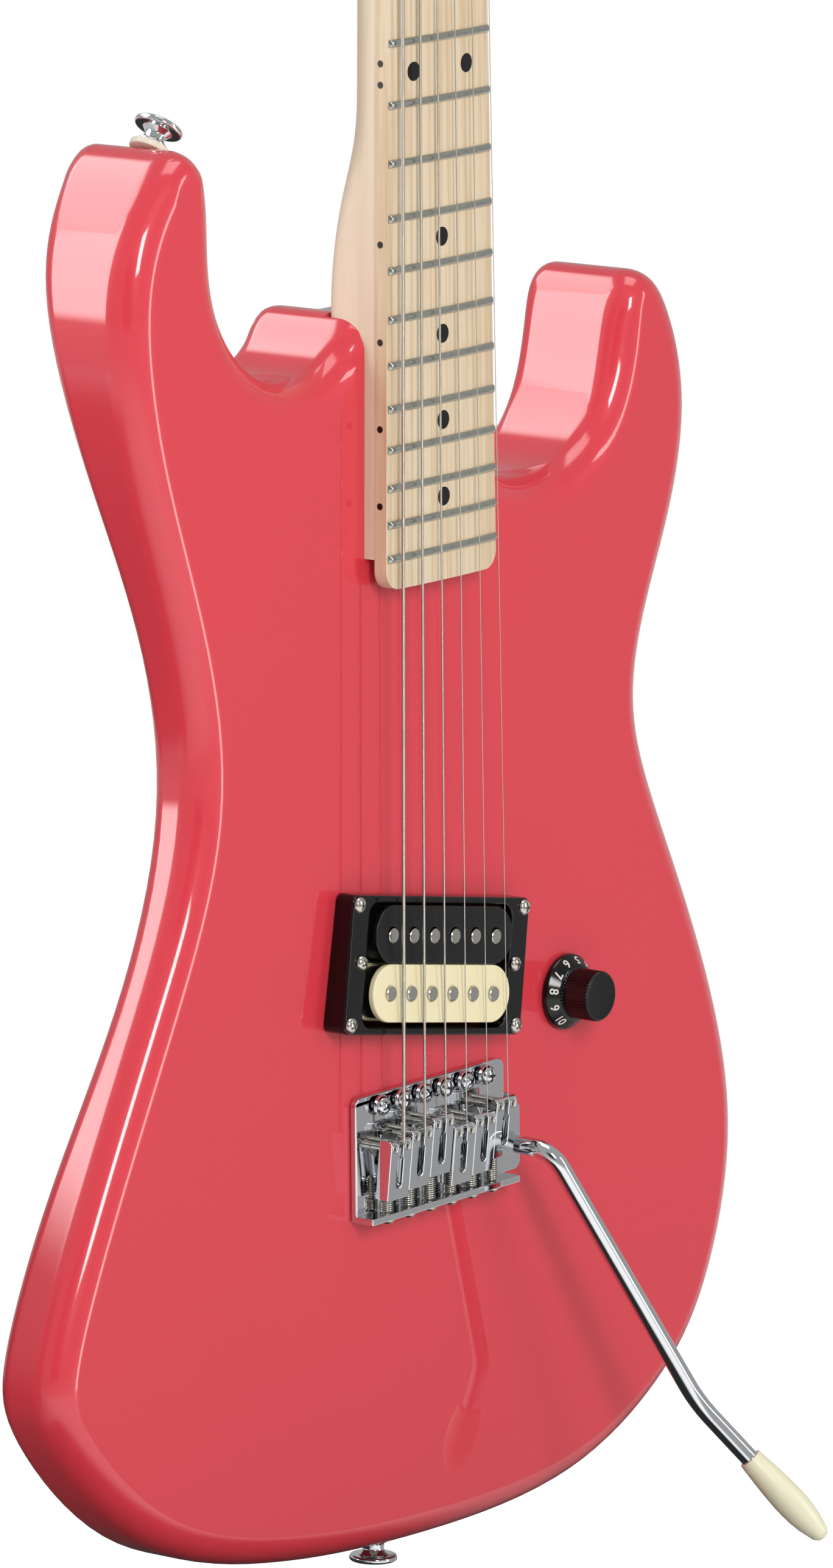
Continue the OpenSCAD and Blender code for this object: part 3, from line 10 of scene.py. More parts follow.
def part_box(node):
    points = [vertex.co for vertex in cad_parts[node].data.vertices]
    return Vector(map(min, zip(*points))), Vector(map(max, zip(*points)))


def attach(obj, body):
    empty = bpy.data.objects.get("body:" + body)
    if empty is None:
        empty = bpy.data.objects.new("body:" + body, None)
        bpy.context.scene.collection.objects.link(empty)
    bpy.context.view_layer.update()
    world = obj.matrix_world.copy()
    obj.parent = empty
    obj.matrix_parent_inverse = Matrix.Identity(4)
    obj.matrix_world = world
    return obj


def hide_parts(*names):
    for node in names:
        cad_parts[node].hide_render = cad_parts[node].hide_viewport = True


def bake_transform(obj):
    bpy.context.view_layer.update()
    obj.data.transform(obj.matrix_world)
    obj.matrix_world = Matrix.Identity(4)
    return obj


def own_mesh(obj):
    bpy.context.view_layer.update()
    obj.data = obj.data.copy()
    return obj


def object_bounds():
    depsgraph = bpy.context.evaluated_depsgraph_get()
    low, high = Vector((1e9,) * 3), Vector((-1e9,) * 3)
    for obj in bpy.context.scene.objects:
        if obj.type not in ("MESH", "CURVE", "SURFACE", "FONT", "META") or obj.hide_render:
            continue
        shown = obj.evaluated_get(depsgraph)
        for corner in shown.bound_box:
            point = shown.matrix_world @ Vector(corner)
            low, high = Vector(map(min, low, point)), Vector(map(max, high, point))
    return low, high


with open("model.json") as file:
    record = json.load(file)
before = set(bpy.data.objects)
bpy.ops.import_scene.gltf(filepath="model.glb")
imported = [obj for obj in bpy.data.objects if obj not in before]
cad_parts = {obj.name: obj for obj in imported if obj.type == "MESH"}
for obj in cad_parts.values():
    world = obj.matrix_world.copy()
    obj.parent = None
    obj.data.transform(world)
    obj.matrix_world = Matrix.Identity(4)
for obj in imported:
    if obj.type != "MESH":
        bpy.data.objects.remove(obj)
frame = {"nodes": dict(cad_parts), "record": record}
cadBox = [list(corner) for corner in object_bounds()]
nodes = frame["nodes"]
scene = bpy.context.scene
print("frame loaded:", len(nodes), "nodes")

# main sizes of the guitar, in mm, in the CAD frame
guitar = Sizes(
    scaleLength=647.7, frets=22, nutWidth=41.5, heelWidth=56.0, heelLength=77.0,
    pocketDepth=16.0, neckStand=3.9, shaftDepth=14.5, shaftGain=2.0, swoop=72.0,
    boardThickness=5.9, boardRadius=350.0, boardOver=10.0, nutThickness=3.4, nutAction=1.6,
    bodyThickness=44.0, edgeRadius=11.0, stringPitch=10.8, nutPitch=7.0, stringHeight=12.9,
)
scaleLength = guitar.scaleLength
glueY = -guitar.neckStand
boardY = glueY - guitar.boardThickness


def fretZ(n):
    return -scaleLength * (1 - 2 ** (-n / 12))


heelZ = fretZ(guitar.frets) - 0.5
heelTop = heelZ + guitar.heelLength


def neckWidth(z):
    return guitar.nutWidth + (guitar.heelWidth - guitar.nutWidth) * z / heelZ


def linear(r, g, b):
    shares = (c / 255 for c in (r, g, b))
    return tuple(((c + 0.055) / 1.055) ** 2.4 if c > 0.04 else c / 12.92 for c in shares) + (1.0,)


# shader groups
def newGroup(name, inputs, outputs):
    group = bpy.data.node_groups.new(name, "ShaderNodeTree")
    for label, kind, value in inputs:
        socket = group.interface.new_socket(label, in_out="INPUT", socket_type="NodeSocket" + kind)
        socket.default_value = value
    for label, kind in outputs:
        group.interface.new_socket(label, in_out="OUTPUT", socket_type="NodeSocket" + kind)
    return group, addNode(group, "NodeGroupInput").outputs, addNode(group, "NodeGroupOutput")


# inputs of a node: values, or the outputs of other nodes
def feed(tree, node, inputs):
    for label, value in inputs.items():
        if isinstance(value, bpy.types.NodeSocket):
            tree.links.new(value, node.inputs[label])
        else:
            node.inputs[label].default_value = value
    return node


def addNode(tree, kind, inputs=(), **settings):
    node = tree.nodes.new(kind)
    for name, value in settings.items():
        setattr(node, name, value)
    return feed(tree, node, dict(inputs))


def mathNode(tree, operation, *values):
    return addNode(tree, "ShaderNodeMath", enumerate(values), operation=operation).outputs[0]


def noiseNode(tree, vector, scale, detail=3.0, rough=0.55):
    values = {"Vector": vector, "Scale": scale, "Detail": detail, "Roughness": rough}
    return addNode(tree, "ShaderNodeTexNoise", values).outputs["Fac"]


def objectPlace(tree):
    return addNode(tree, "ShaderNodeTexCoord").outputs["Object"]


def mixColor(tree, factor, first, second):
    values = {"Factor": factor, "A": first, "B": second}
    return addNode(tree, "ShaderNodeMix", values, data_type="RGBA").outputs["Result"]


# cloudy change of tone and gloss, with a fine surface
def makeTouch():
    group, ins, outs = newGroup(
        "handledSurface",
        [("Color", "Color", (1, 1, 1, 1)), ("Tone", "Float", 0.04), ("Roughness", "Float", 0.3),
         ("Gloss Change", "Float", 0.08), ("Scale", "Float", 40.0), ("Fine Scale", "Float", 900.0)],
        [("Color", "Color"), ("Roughness", "Float"), ("Height", "Float")],
    )
    place = objectPlace(group)
    cloud = noiseNode(group, place, ins["Scale"])
    fine = noiseNode(group, place, ins["Fine Scale"], 2.0)
    tone = mathNode(group, "MULTIPLY_ADD", mathNode(group, "SUBTRACT", cloud, 0.5), ins["Tone"], 1.0)
    shade = addNode(group, "ShaderNodeVectorMath", {0: ins["Color"], "Scale": tone}, operation="SCALE")
    broad = mathNode(group, "MULTIPLY", cloud, 0.6)
    close = mathNode(group, "MULTIPLY", fine, 0.4)
    gloss = mathNode(group, "SUBTRACT", mathNode(group, "ADD", broad, close), 0.5)
    rough = mathNode(group, "MULTIPLY_ADD", gloss, ins["Gloss Change"], ins["Roughness"])
    feed(group, outs, {"Color": shade.outputs[0], "Roughness": rough, "Height": fine})
    return group


# grain: stretch along the neck, contrast of the growth lines, and shares of lines and fibres
grain = Sizes(
    stretch=(1.0, 0.55, 0.022), contrast=(0.44, 0.66), lineShare=0.55, fibreShare=0.35,
    roughGain=0.16,
)


# long fibres and growth lines along the neck
def makeGrain():
    group, ins, outs = newGroup(
        "mapleGrain",
        [("Pale", "Color", (1, 1, 1, 1)), ("Line", "Color", (0.5, 0.4, 0.3, 1)),
         ("Line Scale", "Float", 150.0), ("Fibre Scale", "Float", 1400.0), ("Roughness", "Float", 0.45)],
        [("Color", "Color"), ("Roughness", "Float"), ("Height", "Float")],
    )
    values = {"Vector": objectPlace(group), "Scale": grain.stretch}
    stretch = addNode(group, "ShaderNodeMapping", values).outputs[0]
    lines = noiseNode(group, stretch, ins["Line Scale"], 3.0, 0.5)
    fibres = noiseNode(group, stretch, ins["Fibre Scale"], 2.0, 0.6)
    ramp = addNode(group, "ShaderNodeValToRGB", {0: lines})
    for stop, position in enumerate(grain.contrast):
        ramp.color_ramp.elements[stop].position = position
    broad = mathNode(group, "MULTIPLY", ramp.outputs[0], grain.lineShare)
    share = mathNode(group, "ADD", broad, mathNode(group, "MULTIPLY", fibres, grain.fibreShare))
    color = mixColor(group, share, ins["Pale"], ins["Line"])
    rough = mathNode(group, "MULTIPLY_ADD", fibres, grain.roughGain, ins["Roughness"])
    feed(group, outs, {"Color": color, "Roughness": rough, "Height": fibres})
    return group


touchGroup = makeTouch()
grainGroup = makeGrain()


# materials
def plainMaterial(name):
    material = bpy.data.materials.new(name)
    material.use_nodes = True
    return material, material.node_tree, material.node_tree.nodes["Principled BSDF"]


def addRelief(tree, shader, height, strength, distance):
    values = {"Height": height, "Strength": strength, "Distance": distance}
    feed(tree, shader, {"Normal": addNode(tree, "ShaderNodeBump", values).outputs[0]})


def newMaterial(name, group, groupValues, shaderValues, bump):
    material, tree, shader = plainMaterial(name)
    surface = addNode(tree, "ShaderNodeGroup", groupValues.items(), node_tree=group).outputs
    feed(tree, shader, shaderValues)
    feed(tree, shader, {"Base Color": surface["Color"], "Roughness": surface["Roughness"]})
    addRelief(tree, shader, surface["Height"], *bump)
    return material


def touched(name, color, tone, rough, change, scale, fine, bump=(0.1, 0.0001), **shader):
    values = {"Color": color, "Tone": tone, "Roughness": rough, "Gloss Change": change}
    values.update({"Scale": scale, "Fine Scale": fine})
    sockets = {key.replace("_", " "): value for key, value in shader.items()}
    return newMaterial(name, touchGroup, values, sockets, bump)


# soft plastics let a little light through
waxy = {"Subsurface_Weight": 0.08, "Subsurface_Radius": (0.004, 0.003, 0.002)}
metal = {"Metallic": 1.0}
softGloss = {"Specular_IOR_Level": 0.35}
midGloss = {"Specular_IOR_Level": 0.4}
lowGloss = {"Specular_IOR_Level": 0.3}
fuzzy = {"Sheen_Weight": 0.4}
coated = {"Coat_Weight": 1.0, "Coat_Roughness": 0.02, "Coat_IOR": 1.5, "Specular_IOR_Level": 0.15}
# name, colour, tone, roughness, gloss change, broad and fine scale, bump, other shader values
finishRows = {
    "coral": ("coralLacquer", (215, 58, 70), 0.03, 0.35, 0.05, 14, 350, (0.03, 0.0002), coated),
    "chrome": ("mirrorChrome", (214, 216, 219), 0.02, 0.055, 0.06, 60, 1500, (0.02, 0.00005), metal),
    "nickel": ("polishedNickel", (196, 193, 184), 0.06, 0.20, 0.14, 120, 2200, (0.05, 0.00005), metal),
    "fretWire": ("fretWire", (186, 188, 180), 0.05, 0.22, 0.10, 300, 2500, (0.06, 0.00004), metal),
    "steel": ("plainSteel", (150, 152, 156), 0.10, 0.34, 0.2, 80, 1800, (0.12, 0.00006), metal),
    "black": ("blackPlastic", (9, 9, 10), 0.15, 0.14, 0.08, 50, 1200, (0.04, 0.00008), midGloss),
    "blackSatin": ("blackSatin", (12, 12, 13), 0.2, 0.30, 0.15, 90, 2500, (0.15, 0.0001), softGloss),
    "tape": ("coilTape", (13, 13, 14), 0.3, 0.38, 0.15, 200, 3500, (0.5, 0.0002), lowGloss),
    "cream": ("creamPlastic", (236, 224, 184), 0.03, 0.30, 0.10, 60, 1500, (0.06, 0.00008), waxy),
    "ivory": ("ivoryTip", (234, 230, 200), 0.03, 0.34, 0.10, 60, 1500, (0.06, 0.00008), waxy),
    "bone": ("boneNut", (232, 226, 208), 0.05, 0.38, 0.1, 200, 2500, (0.1, 0.00008), {}),
    "felt": ("pressedFelt", (240, 232, 212), 0.25, 0.95, 0.05, 700, 3500, (0.9, 0.0004), fuzzy),
    "numeral": ("numeralPaint", (225, 223, 214), 0.05, 0.5, 0.1, 100, 2000, (0.1, 0.00005), {}),
}
# name, pale and line colour, scale of the lines and the fibres, roughness
grainRows = {
    "maple": ("mapleNeck", (228, 211, 187), (204, 181, 150), 130, 1300, 0.42),
    "board": ("mapleBoard", (225, 206, 176), (196, 167, 130), 520, 1500, 0.40),
}
finishes = {}
for key, (name, color, tone, rough, change, broad, fine, bump, others) in finishRows.items():
    finishes[key] = touched(name, linear(*color), tone, rough, change, broad, fine, bump, **others)
for key, (name, pale, line, lineScale, fibreScale, rough) in grainRows.items():
    values = {"Pale": linear(*pale), "Line": linear(*line), "Line Scale": lineScale}
    values.update({"Fibre Scale": fibreScale, "Roughness": rough})
    finishes[key] = newMaterial(name, grainGroup, values, {}, (0.06, 0.0001))


# wound string: fine rings of wrap wire along its run, with painted shade darkening the grooves between the
# windings
def makeWound():
    material, tree, shader = plainMaterial("woundString")
    values = {"Vector": objectPlace(tree), "Scale": 900.0}
    share = addNode(tree, "ShaderNodeTexWave", values, bands_direction="Z").outputs["Fac"]
    # painted shade: the base colour is darker in the grooves between the windings, lighter on their crowns
    color = mixColor(tree, share, linear(148, 144, 136), linear(208, 204, 195))
    rough = mathNode(tree, "MULTIPLY_ADD", share, -0.12, 0.36)
    feed(tree, shader, {"Metallic": 1.0, "Base Color": color, "Roughness": rough})
    addRelief(tree, shader, share, 0.5, 0.0001)
    return material


finishes["wound"] = makeWound()
print("finishes made:", len(finishes))


# points closer than this are one, in metres: on pieces made here, and on CAD meshes
tinyGap = 1e-7
cadGap = 2e-6


# mesh helpers
def addObject(name, mesh):
    piece = bpy.data.objects.new(name, mesh)
    scene.collection.objects.link(piece)
    return piece


# sizes in mm go in, a mesh in metres comes out
def meshFrom(name, points, faces=(), edges=()):
    mesh = bpy.data.meshes.new(name)
    mesh.from_pydata([(x / 1000, y / 1000, z / 1000) for x, y, z in points], list(edges), list(faces))
    mesh.update()
    return mesh


def repaint(piece, finish):
    piece.data.materials.clear()
    piece.data.materials.append(finishes[finish])


def settle(piece, finish=None):
    graph = bpy.context.evaluated_depsgraph_get()
    done = piece.evaluated_get(graph)
    mesh = bpy.data.meshes.new_from_object(done, preserve_all_data_layers=True, depsgraph=graph)
    piece.modifiers.clear()
    piece.data = mesh
    if finish:
        repaint(piece, finish)
    return piece


# smooth over shallow angles, with flat faces kept flat
def smooth(piece, angle=32, weighted=True):
    mesh = piece.data
    mesh.shade_smooth()
    mesh.set_sharp_from_angle(angle=radians(angle))
    if weighted:
        even = piece.modifiers.new("evenNormals", "WEIGHTED_NORMAL")
        even.keep_sharp = True
        even.weight = 80
        materials = list(mesh.materials)
        settle(piece)
        for slot, material in enumerate(materials):
            if slot < len(piece.data.materials):
                piece.data.materials[slot] = material
    return piece


def outward(mesh):
    work = bmesh.new()
    work.from_mesh(mesh)
    bmesh.ops.remove_doubles(work, verts=work.verts, dist=tinyGap)
    bmesh.ops.recalc_face_normals(work, faces=work.faces)
    work.to_mesh(mesh)
    work.free()


def closedPiece(name, points, faces):
    mesh = meshFrom(name, points, faces)
    outward(mesh)
    return addObject(name, mesh)


bodyOf = {node: body for body, members in frame["record"]["behaviour"]["bodies"].items() for node in members}


def stand(piece, body, replaced):
    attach(piece, body)
    for node in replaced:
        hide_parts(node)
    return piece


def addBevel(piece, width, segments, angle):
    bevel = piece.modifiers.new("brokenEdges", "BEVEL")
    bevel.width = width / 1000
    bevel.segments = segments
    bevel.limit_method = "ANGLE"
    bevel.angle_limit = radians(angle)
    return bevel


# a CAD node taken over with broken edges
def dress(node, finish, width=0.3, segments=2, angle=34):
    mesh = nodes[node].data.copy()
    mesh.name = node + "Dressed"
    work = bmesh.new()
    work.from_mesh(mesh)
    bmesh.ops.remove_doubles(work, verts=work.verts, dist=cadGap)
    bmesh.ops.dissolve_degenerate(work, edges=work.edges, dist=1e-6)
    bmesh.ops.dissolve_limit(work, angle_limit=radians(0.6), verts=work.verts, edges=work.edges,
                             use_dissolve_boundaries=False)
    work.to_mesh(mesh)
    work.free()
    piece = addObject(node + "Dressed", mesh)
    if width:
        bevel = addBevel(piece, width, segments, angle)
        bevel.use_clamp_overlap = False
        bevel.miter_outer = "MITER_ARC"
    settle(piece, finish)
    smooth(piece, angle)
    return stand(piece, bodyOf[node], [node])


# geometry node trees
def newTree(name, inputs):
    tree = bpy.data.node_groups.new(name, "GeometryNodeTree")
    sockets = {}
    for label, kind in inputs:
        socket = tree.interface.new_socket(label, in_out="INPUT", socket_type="NodeSocket" + kind)
        sockets[label] = socket.identifier
    tree.interface.new_socket("Geometry", in_out="OUTPUT", socket_type="NodeSocketGeometry")
    return tree, sockets, addNode(tree, "NodeGroupInput").outputs, addNode(tree, "NodeGroupOutput")


def readNode(tree, kind, name):
    return addNode(tree, "GeometryNodeInputNamedAttribute", {"Name": name}, data_type=kind).outputs[0]


# end of a tree: real copies that carry the given material
def endTree(tree, last, ins, outs):
    real = addNode(tree, "GeometryNodeRealizeInstances", {"Geometry": last})
    values = {"Geometry": real.outputs[0], "Material": ins["Material"]}
    feed(tree, outs, {"Geometry": addNode(tree, "GeometryNodeSetMaterial", values).outputs[0]})


# round bar along the edges of a path
def makeBarTree():
    inputs = [("Geometry", "Geometry"), ("Radius", "Float"), ("Sides", "Int"), ("Material", "Material")]
    tree, sockets, ins, outs = newTree("roundBar", inputs)
    path = addNode(tree, "GeometryNodeMeshToCurve", {"Mesh": ins["Geometry"]})
    values = {"Radius": ins["Radius"], "Resolution": ins["Sides"]}
    ring = addNode(tree, "GeometryNodeCurvePrimitiveCircle", values)
    values = {"Curve": path.outputs[0], "Profile Curve": ring.outputs[0], "Fill Caps": True}
    sweep = addNode(tree, "GeometryNodeCurveToMesh", values)
    soft = addNode(tree, "GeometryNodeSetShadeSmooth", {"Geometry": sweep.outputs[0]})
    endTree(tree, soft.outputs[0], ins, outs)
    return tree, sockets


# screws or other small pieces on points, turned to each point's aim and spin
def makeRowTree():
    inputs = [("Geometry", "Geometry"), ("Fastener", "Object"), ("Material", "Material")]
    tree, sockets, ins, outs = newTree("fastenerRow", inputs)
    values = {"Vector": readNode(tree, "FLOAT_VECTOR", "aim")}
    align = addNode(tree, "FunctionNodeAlignRotationToVector", values, axis="Z")
    values = {"Axis": (0, 0, 1), "Angle": readNode(tree, "FLOAT", "spin")}
    turn = addNode(tree, "FunctionNodeAxisAngleToRotation", values)
    values = {"Rotation": align.outputs[0], "Rotate By": turn.outputs[0]}
    both = addNode(tree, "FunctionNodeRotateRotation", values, rotation_space="LOCAL")
    model = addNode(tree, "GeometryNodeObjectInfo", {"Object": ins["Fastener"]}).outputs["Geometry"]
    values = {"Points": ins["Geometry"], "Instance": model, "Rotation": both.outputs[0]}
    spread = addNode(tree, "GeometryNodeInstanceOnPoints", values)
    endTree(tree, spread.outputs[0], ins, outs)
    return tree, sockets


# frets: one model placed and widened by the rule of the scale
def makeFretTree():
    tree, sockets, ins, outs = newTree(
        "fretRow",
        [("Geometry", "Geometry"), ("Count", "Int"), ("Scale Length", "Float"), ("Nut Width", "Float"),
         ("Width Gain", "Float"), ("Model Width", "Float"), ("Fret", "Object"), ("Material", "Material")],
    )
    row = addNode(tree, "GeometryNodeMeshLine", {"Count": ins["Count"]})
    number = mathNode(tree, "ADD", addNode(tree, "GeometryNodeInputIndex").outputs[0], 1.0)
    step = mathNode(tree, "DIVIDE", number, -12.0)
    share = mathNode(tree, "SUBTRACT", 1.0, mathNode(tree, "POWER", 2.0, step))
    drop = mathNode(tree, "MULTIPLY", share, ins["Scale Length"])
    width = mathNode(tree, "MULTIPLY_ADD", drop, ins["Width Gain"], ins["Nut Width"])
    wide = mathNode(tree, "DIVIDE", width, ins["Model Width"])
    spot = addNode(tree, "ShaderNodeCombineXYZ", {"Z": mathNode(tree, "MULTIPLY", drop, -1.0)})
    size = addNode(tree, "ShaderNodeCombineXYZ", {"X": wide, "Y": 1.0, "Z": 1.0})
    values = {"Geometry": row.outputs[0], "Name": "size", "Value": size.outputs[0]}
    keep = addNode(tree, "GeometryNodeStoreNamedAttribute", values, data_type="FLOAT_VECTOR")
    values = {"Geometry": keep.outputs[0], "Position": spot.outputs[0]}
    place = addNode(tree, "GeometryNodeSetPosition", values)
    model = addNode(tree, "GeometryNodeObjectInfo", {"Object": ins["Fret"]}).outputs["Geometry"]
    values = {"Points": place.outputs[0], "Instance": model, "Scale": readNode(tree, "FLOAT_VECTOR", "size")}
    spread = addNode(tree, "GeometryNodeInstanceOnPoints", values)
    endTree(tree, spread.outputs[0], ins, outs)
    return tree, sockets


barTree = makeBarTree()
rowTree = makeRowTree()
fretTree = makeFretTree()


def runTree(piece, treeAndSockets, values):
    tree, sockets = treeAndSockets
    modifier = piece.modifiers.new(tree.name, "NODES")
    modifier.node_group = tree
    for label, value in values.items():
        modifier[sockets[label]] = value
    piece.update_tag()
    bpy.context.view_layer.update()
    settle(piece)
    piece.data.materials.clear()
    piece.data.materials.append(values["Material"])
    for face in piece.data.polygons:
        face.material_index = 0
    return piece


# one or more open paths in mm swept into round bars
def bars(name, paths, radius, finish, sides=16):
    points, edges = [], []
    for path in paths:
        start = len(points)
        points += [tuple(p) for p in path]
        edges += [(start + k, start + k + 1) for k in range(len(path) - 1)]
    piece = addObject(name, meshFrom(name, points, edges=edges))
    runTree(piece, barTree, {"Radius": radius / 1000, "Sides": sides, "Material": finishes[finish]})
    outward(piece.data)
    return smooth(piece, angle=50, weighted=False)


def fasteners(name, model, spots, finish):
    mesh = meshFrom(name, [spot[0] for spot in spots])
    mesh.attributes.new("aim", "FLOAT_VECTOR", "POINT")
    mesh.attributes.new("spin", "FLOAT", "POINT")
    for index, (place, direction, angle) in enumerate(spots):
        mesh.attributes["aim"].data[index].vector = direction
        mesh.attributes["spin"].data[index].value = angle
    piece = addObject(name, mesh)
    runTree(piece, rowTree, {"Fastener": model, "Material": finishes[finish]})
    return smooth(piece, weighted=False)


# closed piece over rings of points in mm, with a lid at both ends
def ringSkin(name, points, width):
    faces = []
    for start in range(0, len(points) - width, width):
        for k in range(width):
            a, b = start + k, start + (k + 1) % width
            faces.append((a, b, b + width, a + width))
    faces += [tuple(reversed(range(width))), tuple(range(len(points) - width, len(points)))]
    return closedPiece(name, points, faces)


# turned piece from radius and height pairs in mm, along +Z
def turned(name, profile, steps=40):
    points = []
    for radius, height in profile:
        points += [(x, y, height) for x, y in disc(0, 0, radius, steps)]
    return ringSkin(name, points, steps)


def box(name, low, high):
    corners = [(x, y, z) for x in (low[0], high[0]) for y in (low[1], high[1]) for z in (low[2], high[2])]
    sides = [(0, 1, 3, 2), (4, 6, 7, 5), (0, 4, 5, 1), (2, 3, 7, 6), (0, 2, 6, 4), (1, 5, 7, 3)]
    return closedPiece(name, corners, sides)


# prism of an x, z outline between two depths
def prism(name, outline, y0, y1):
    count = len(outline)
    points = [(x, y0, z) for x, z in outline] + [(x, y1, z) for x, z in outline]
    faces = [(k, (k + 1) % count, count + (k + 1) % count, count + k) for k in range(count)]
    faces += [tuple(range(count)), tuple(reversed(range(count, 2 * count)))]
    return closedPiece(name, points, faces)


def cutWith(piece, cutters, operation="DIFFERENCE"):
    for cutter in cutters:
        step = piece.modifiers.new(cutter.name, "BOOLEAN")
        step.operation = operation
        step.solver = "EXACT"
        step.object = cutter
    settle(piece)
    for cutter in cutters:
        bpy.data.objects.remove(cutter)
    return piece


def disc(x, z, radius, steps=48):
    angles = [2 * pi * k / steps for k in range(steps)]
    return [(x + radius * cos(a), z + radius * sin(a)) for a in angles]


# body
bodyShape = Sizes(
    outline=[
        (-2, -143), (80, -143), (127, -122), (155, -98), (174, -47), (167, -1), (145, 50),
        (125, 88), (116, 115), (124, 143), (141, 176), (149, 212), (138, 245), (124, 257),
        (110, 251), (107, 224), (95, 201), (67, 191.5), (42, 198), (27, 215), (12, 240),
        (-8, 254), (-27, 260), (-33, 248), (-51, 237), (-78, 244), (-96, 266), (-97, 290),
        (-97, 310), (-111, 323), (-130, 304), (-144, 275), (-135, 220.5), (-113.5, 168), (-102, 110),
        (-131.5, 52.5), (-159.5, 1.5), (-185.5, -52), (-181, -73.5), (-137, -120), (-72, -137),
    ],
    hipFirst=30, hipDepth=[2.5, 6.5, 16.2, 21.5, 21, 25, 18.7, 18.7, 18.3, 16.5, 9],
    hipRun=1.8, hipRest=0.05, hipEven=0.75, backRadius=6.0,
    hipShares=(0.05, 0.15, 0.3, 0.45, 0.6, 0.75, 0.87, 0.95, 0.99, 1.0),
    steps=8, turns=10, jackAt=3.0, knob=(73.5, 25.5), controlEnd=(104.0, -42.0),
    pickup=(-2.5, 47.9), pickupTurn=10.0, arm=(36.9, -17.3), tightStep=0.3,
)
# half of the pickup rout's corners, low and high corners of the bridge routs, radii and depths
bodyCuts = Sizes(
    fit=0.05, over=1, pocketRun=60, pickupDepth=24, through=46,
    pickupHalf=[(43.5, -8), (43.5, 8), (37, 8), (37, 20.1), (-37, 20.1), (-37, 8)],
    block=((-36, -24.41), (36, -1.4)), spring=((-31, -17), (31, 92)), springFloor=27,
    controlRadius=20, controlFloor=9, controlSteps=24, shaftRadius=4.75,
    armRadius=8.5, armBack=0.6, armDepth=18,
    jackPlate=[(-20.05, -2.6), (20.05, -2.6), (20.05, 12), (-20.05, 12)],
    jackMiddle=22, jackHalf=9.55,
)


# point of a cubic B-spline between its second and third knot
def splineShare(t, a, b, c, d):
    early = (1 - t) ** 3 * a + (3 * t ** 3 - 6 * t * t + 4) * b
    return (early + (-3 * t ** 3 + 3 * t * t + 3 * t + 1) * c + t ** 3 * d) / 6


def edgeAt(u):
    knots = bodyShape.outline
    i, count = floor(u), len(knots)
    t = u - i
    a, b, c, d = (Vector(knots[(i + k) % count]) for k in (-1, 0, 1, 2))
    spot = splineShare(t, a, b, c, d)
    pace = (-(1 - t) ** 2 * a + (3 * t * t - 4 * t) * b + (-3 * t * t + 2 * t + 1) * c + t * t * d) / 2
    bend = (1 - t) * a + (3 * t - 2) * b + (1 - 3 * t) * c + t * d
    curve = (pace.x * bend.y - pace.y * bend.x) / pace.length ** 3
    return spot, Vector((pace.y, -pace.x)).normalized(), curve


# depth of the back's hip contour at the edge
def hipAt(u):
    depths = [0] * bodyShape.hipFirst + bodyShape.hipDepth
    i = floor(u)
    t = u - i
    a, b, c, d = (depths[(i + k) % len(depths)] for k in (-1, 0, 1, 2))
    return splineShare(t, a, b, c, d)


# way across the hip contour, evened out so that it stays open round the corner
def hipWay(u):
    way = Vector((0, 0))
    for k in (-2, -1, 0, 1, 2):
        way += edgeAt(u + k * bodyShape.hipEven)[1]
    return way.normalized()


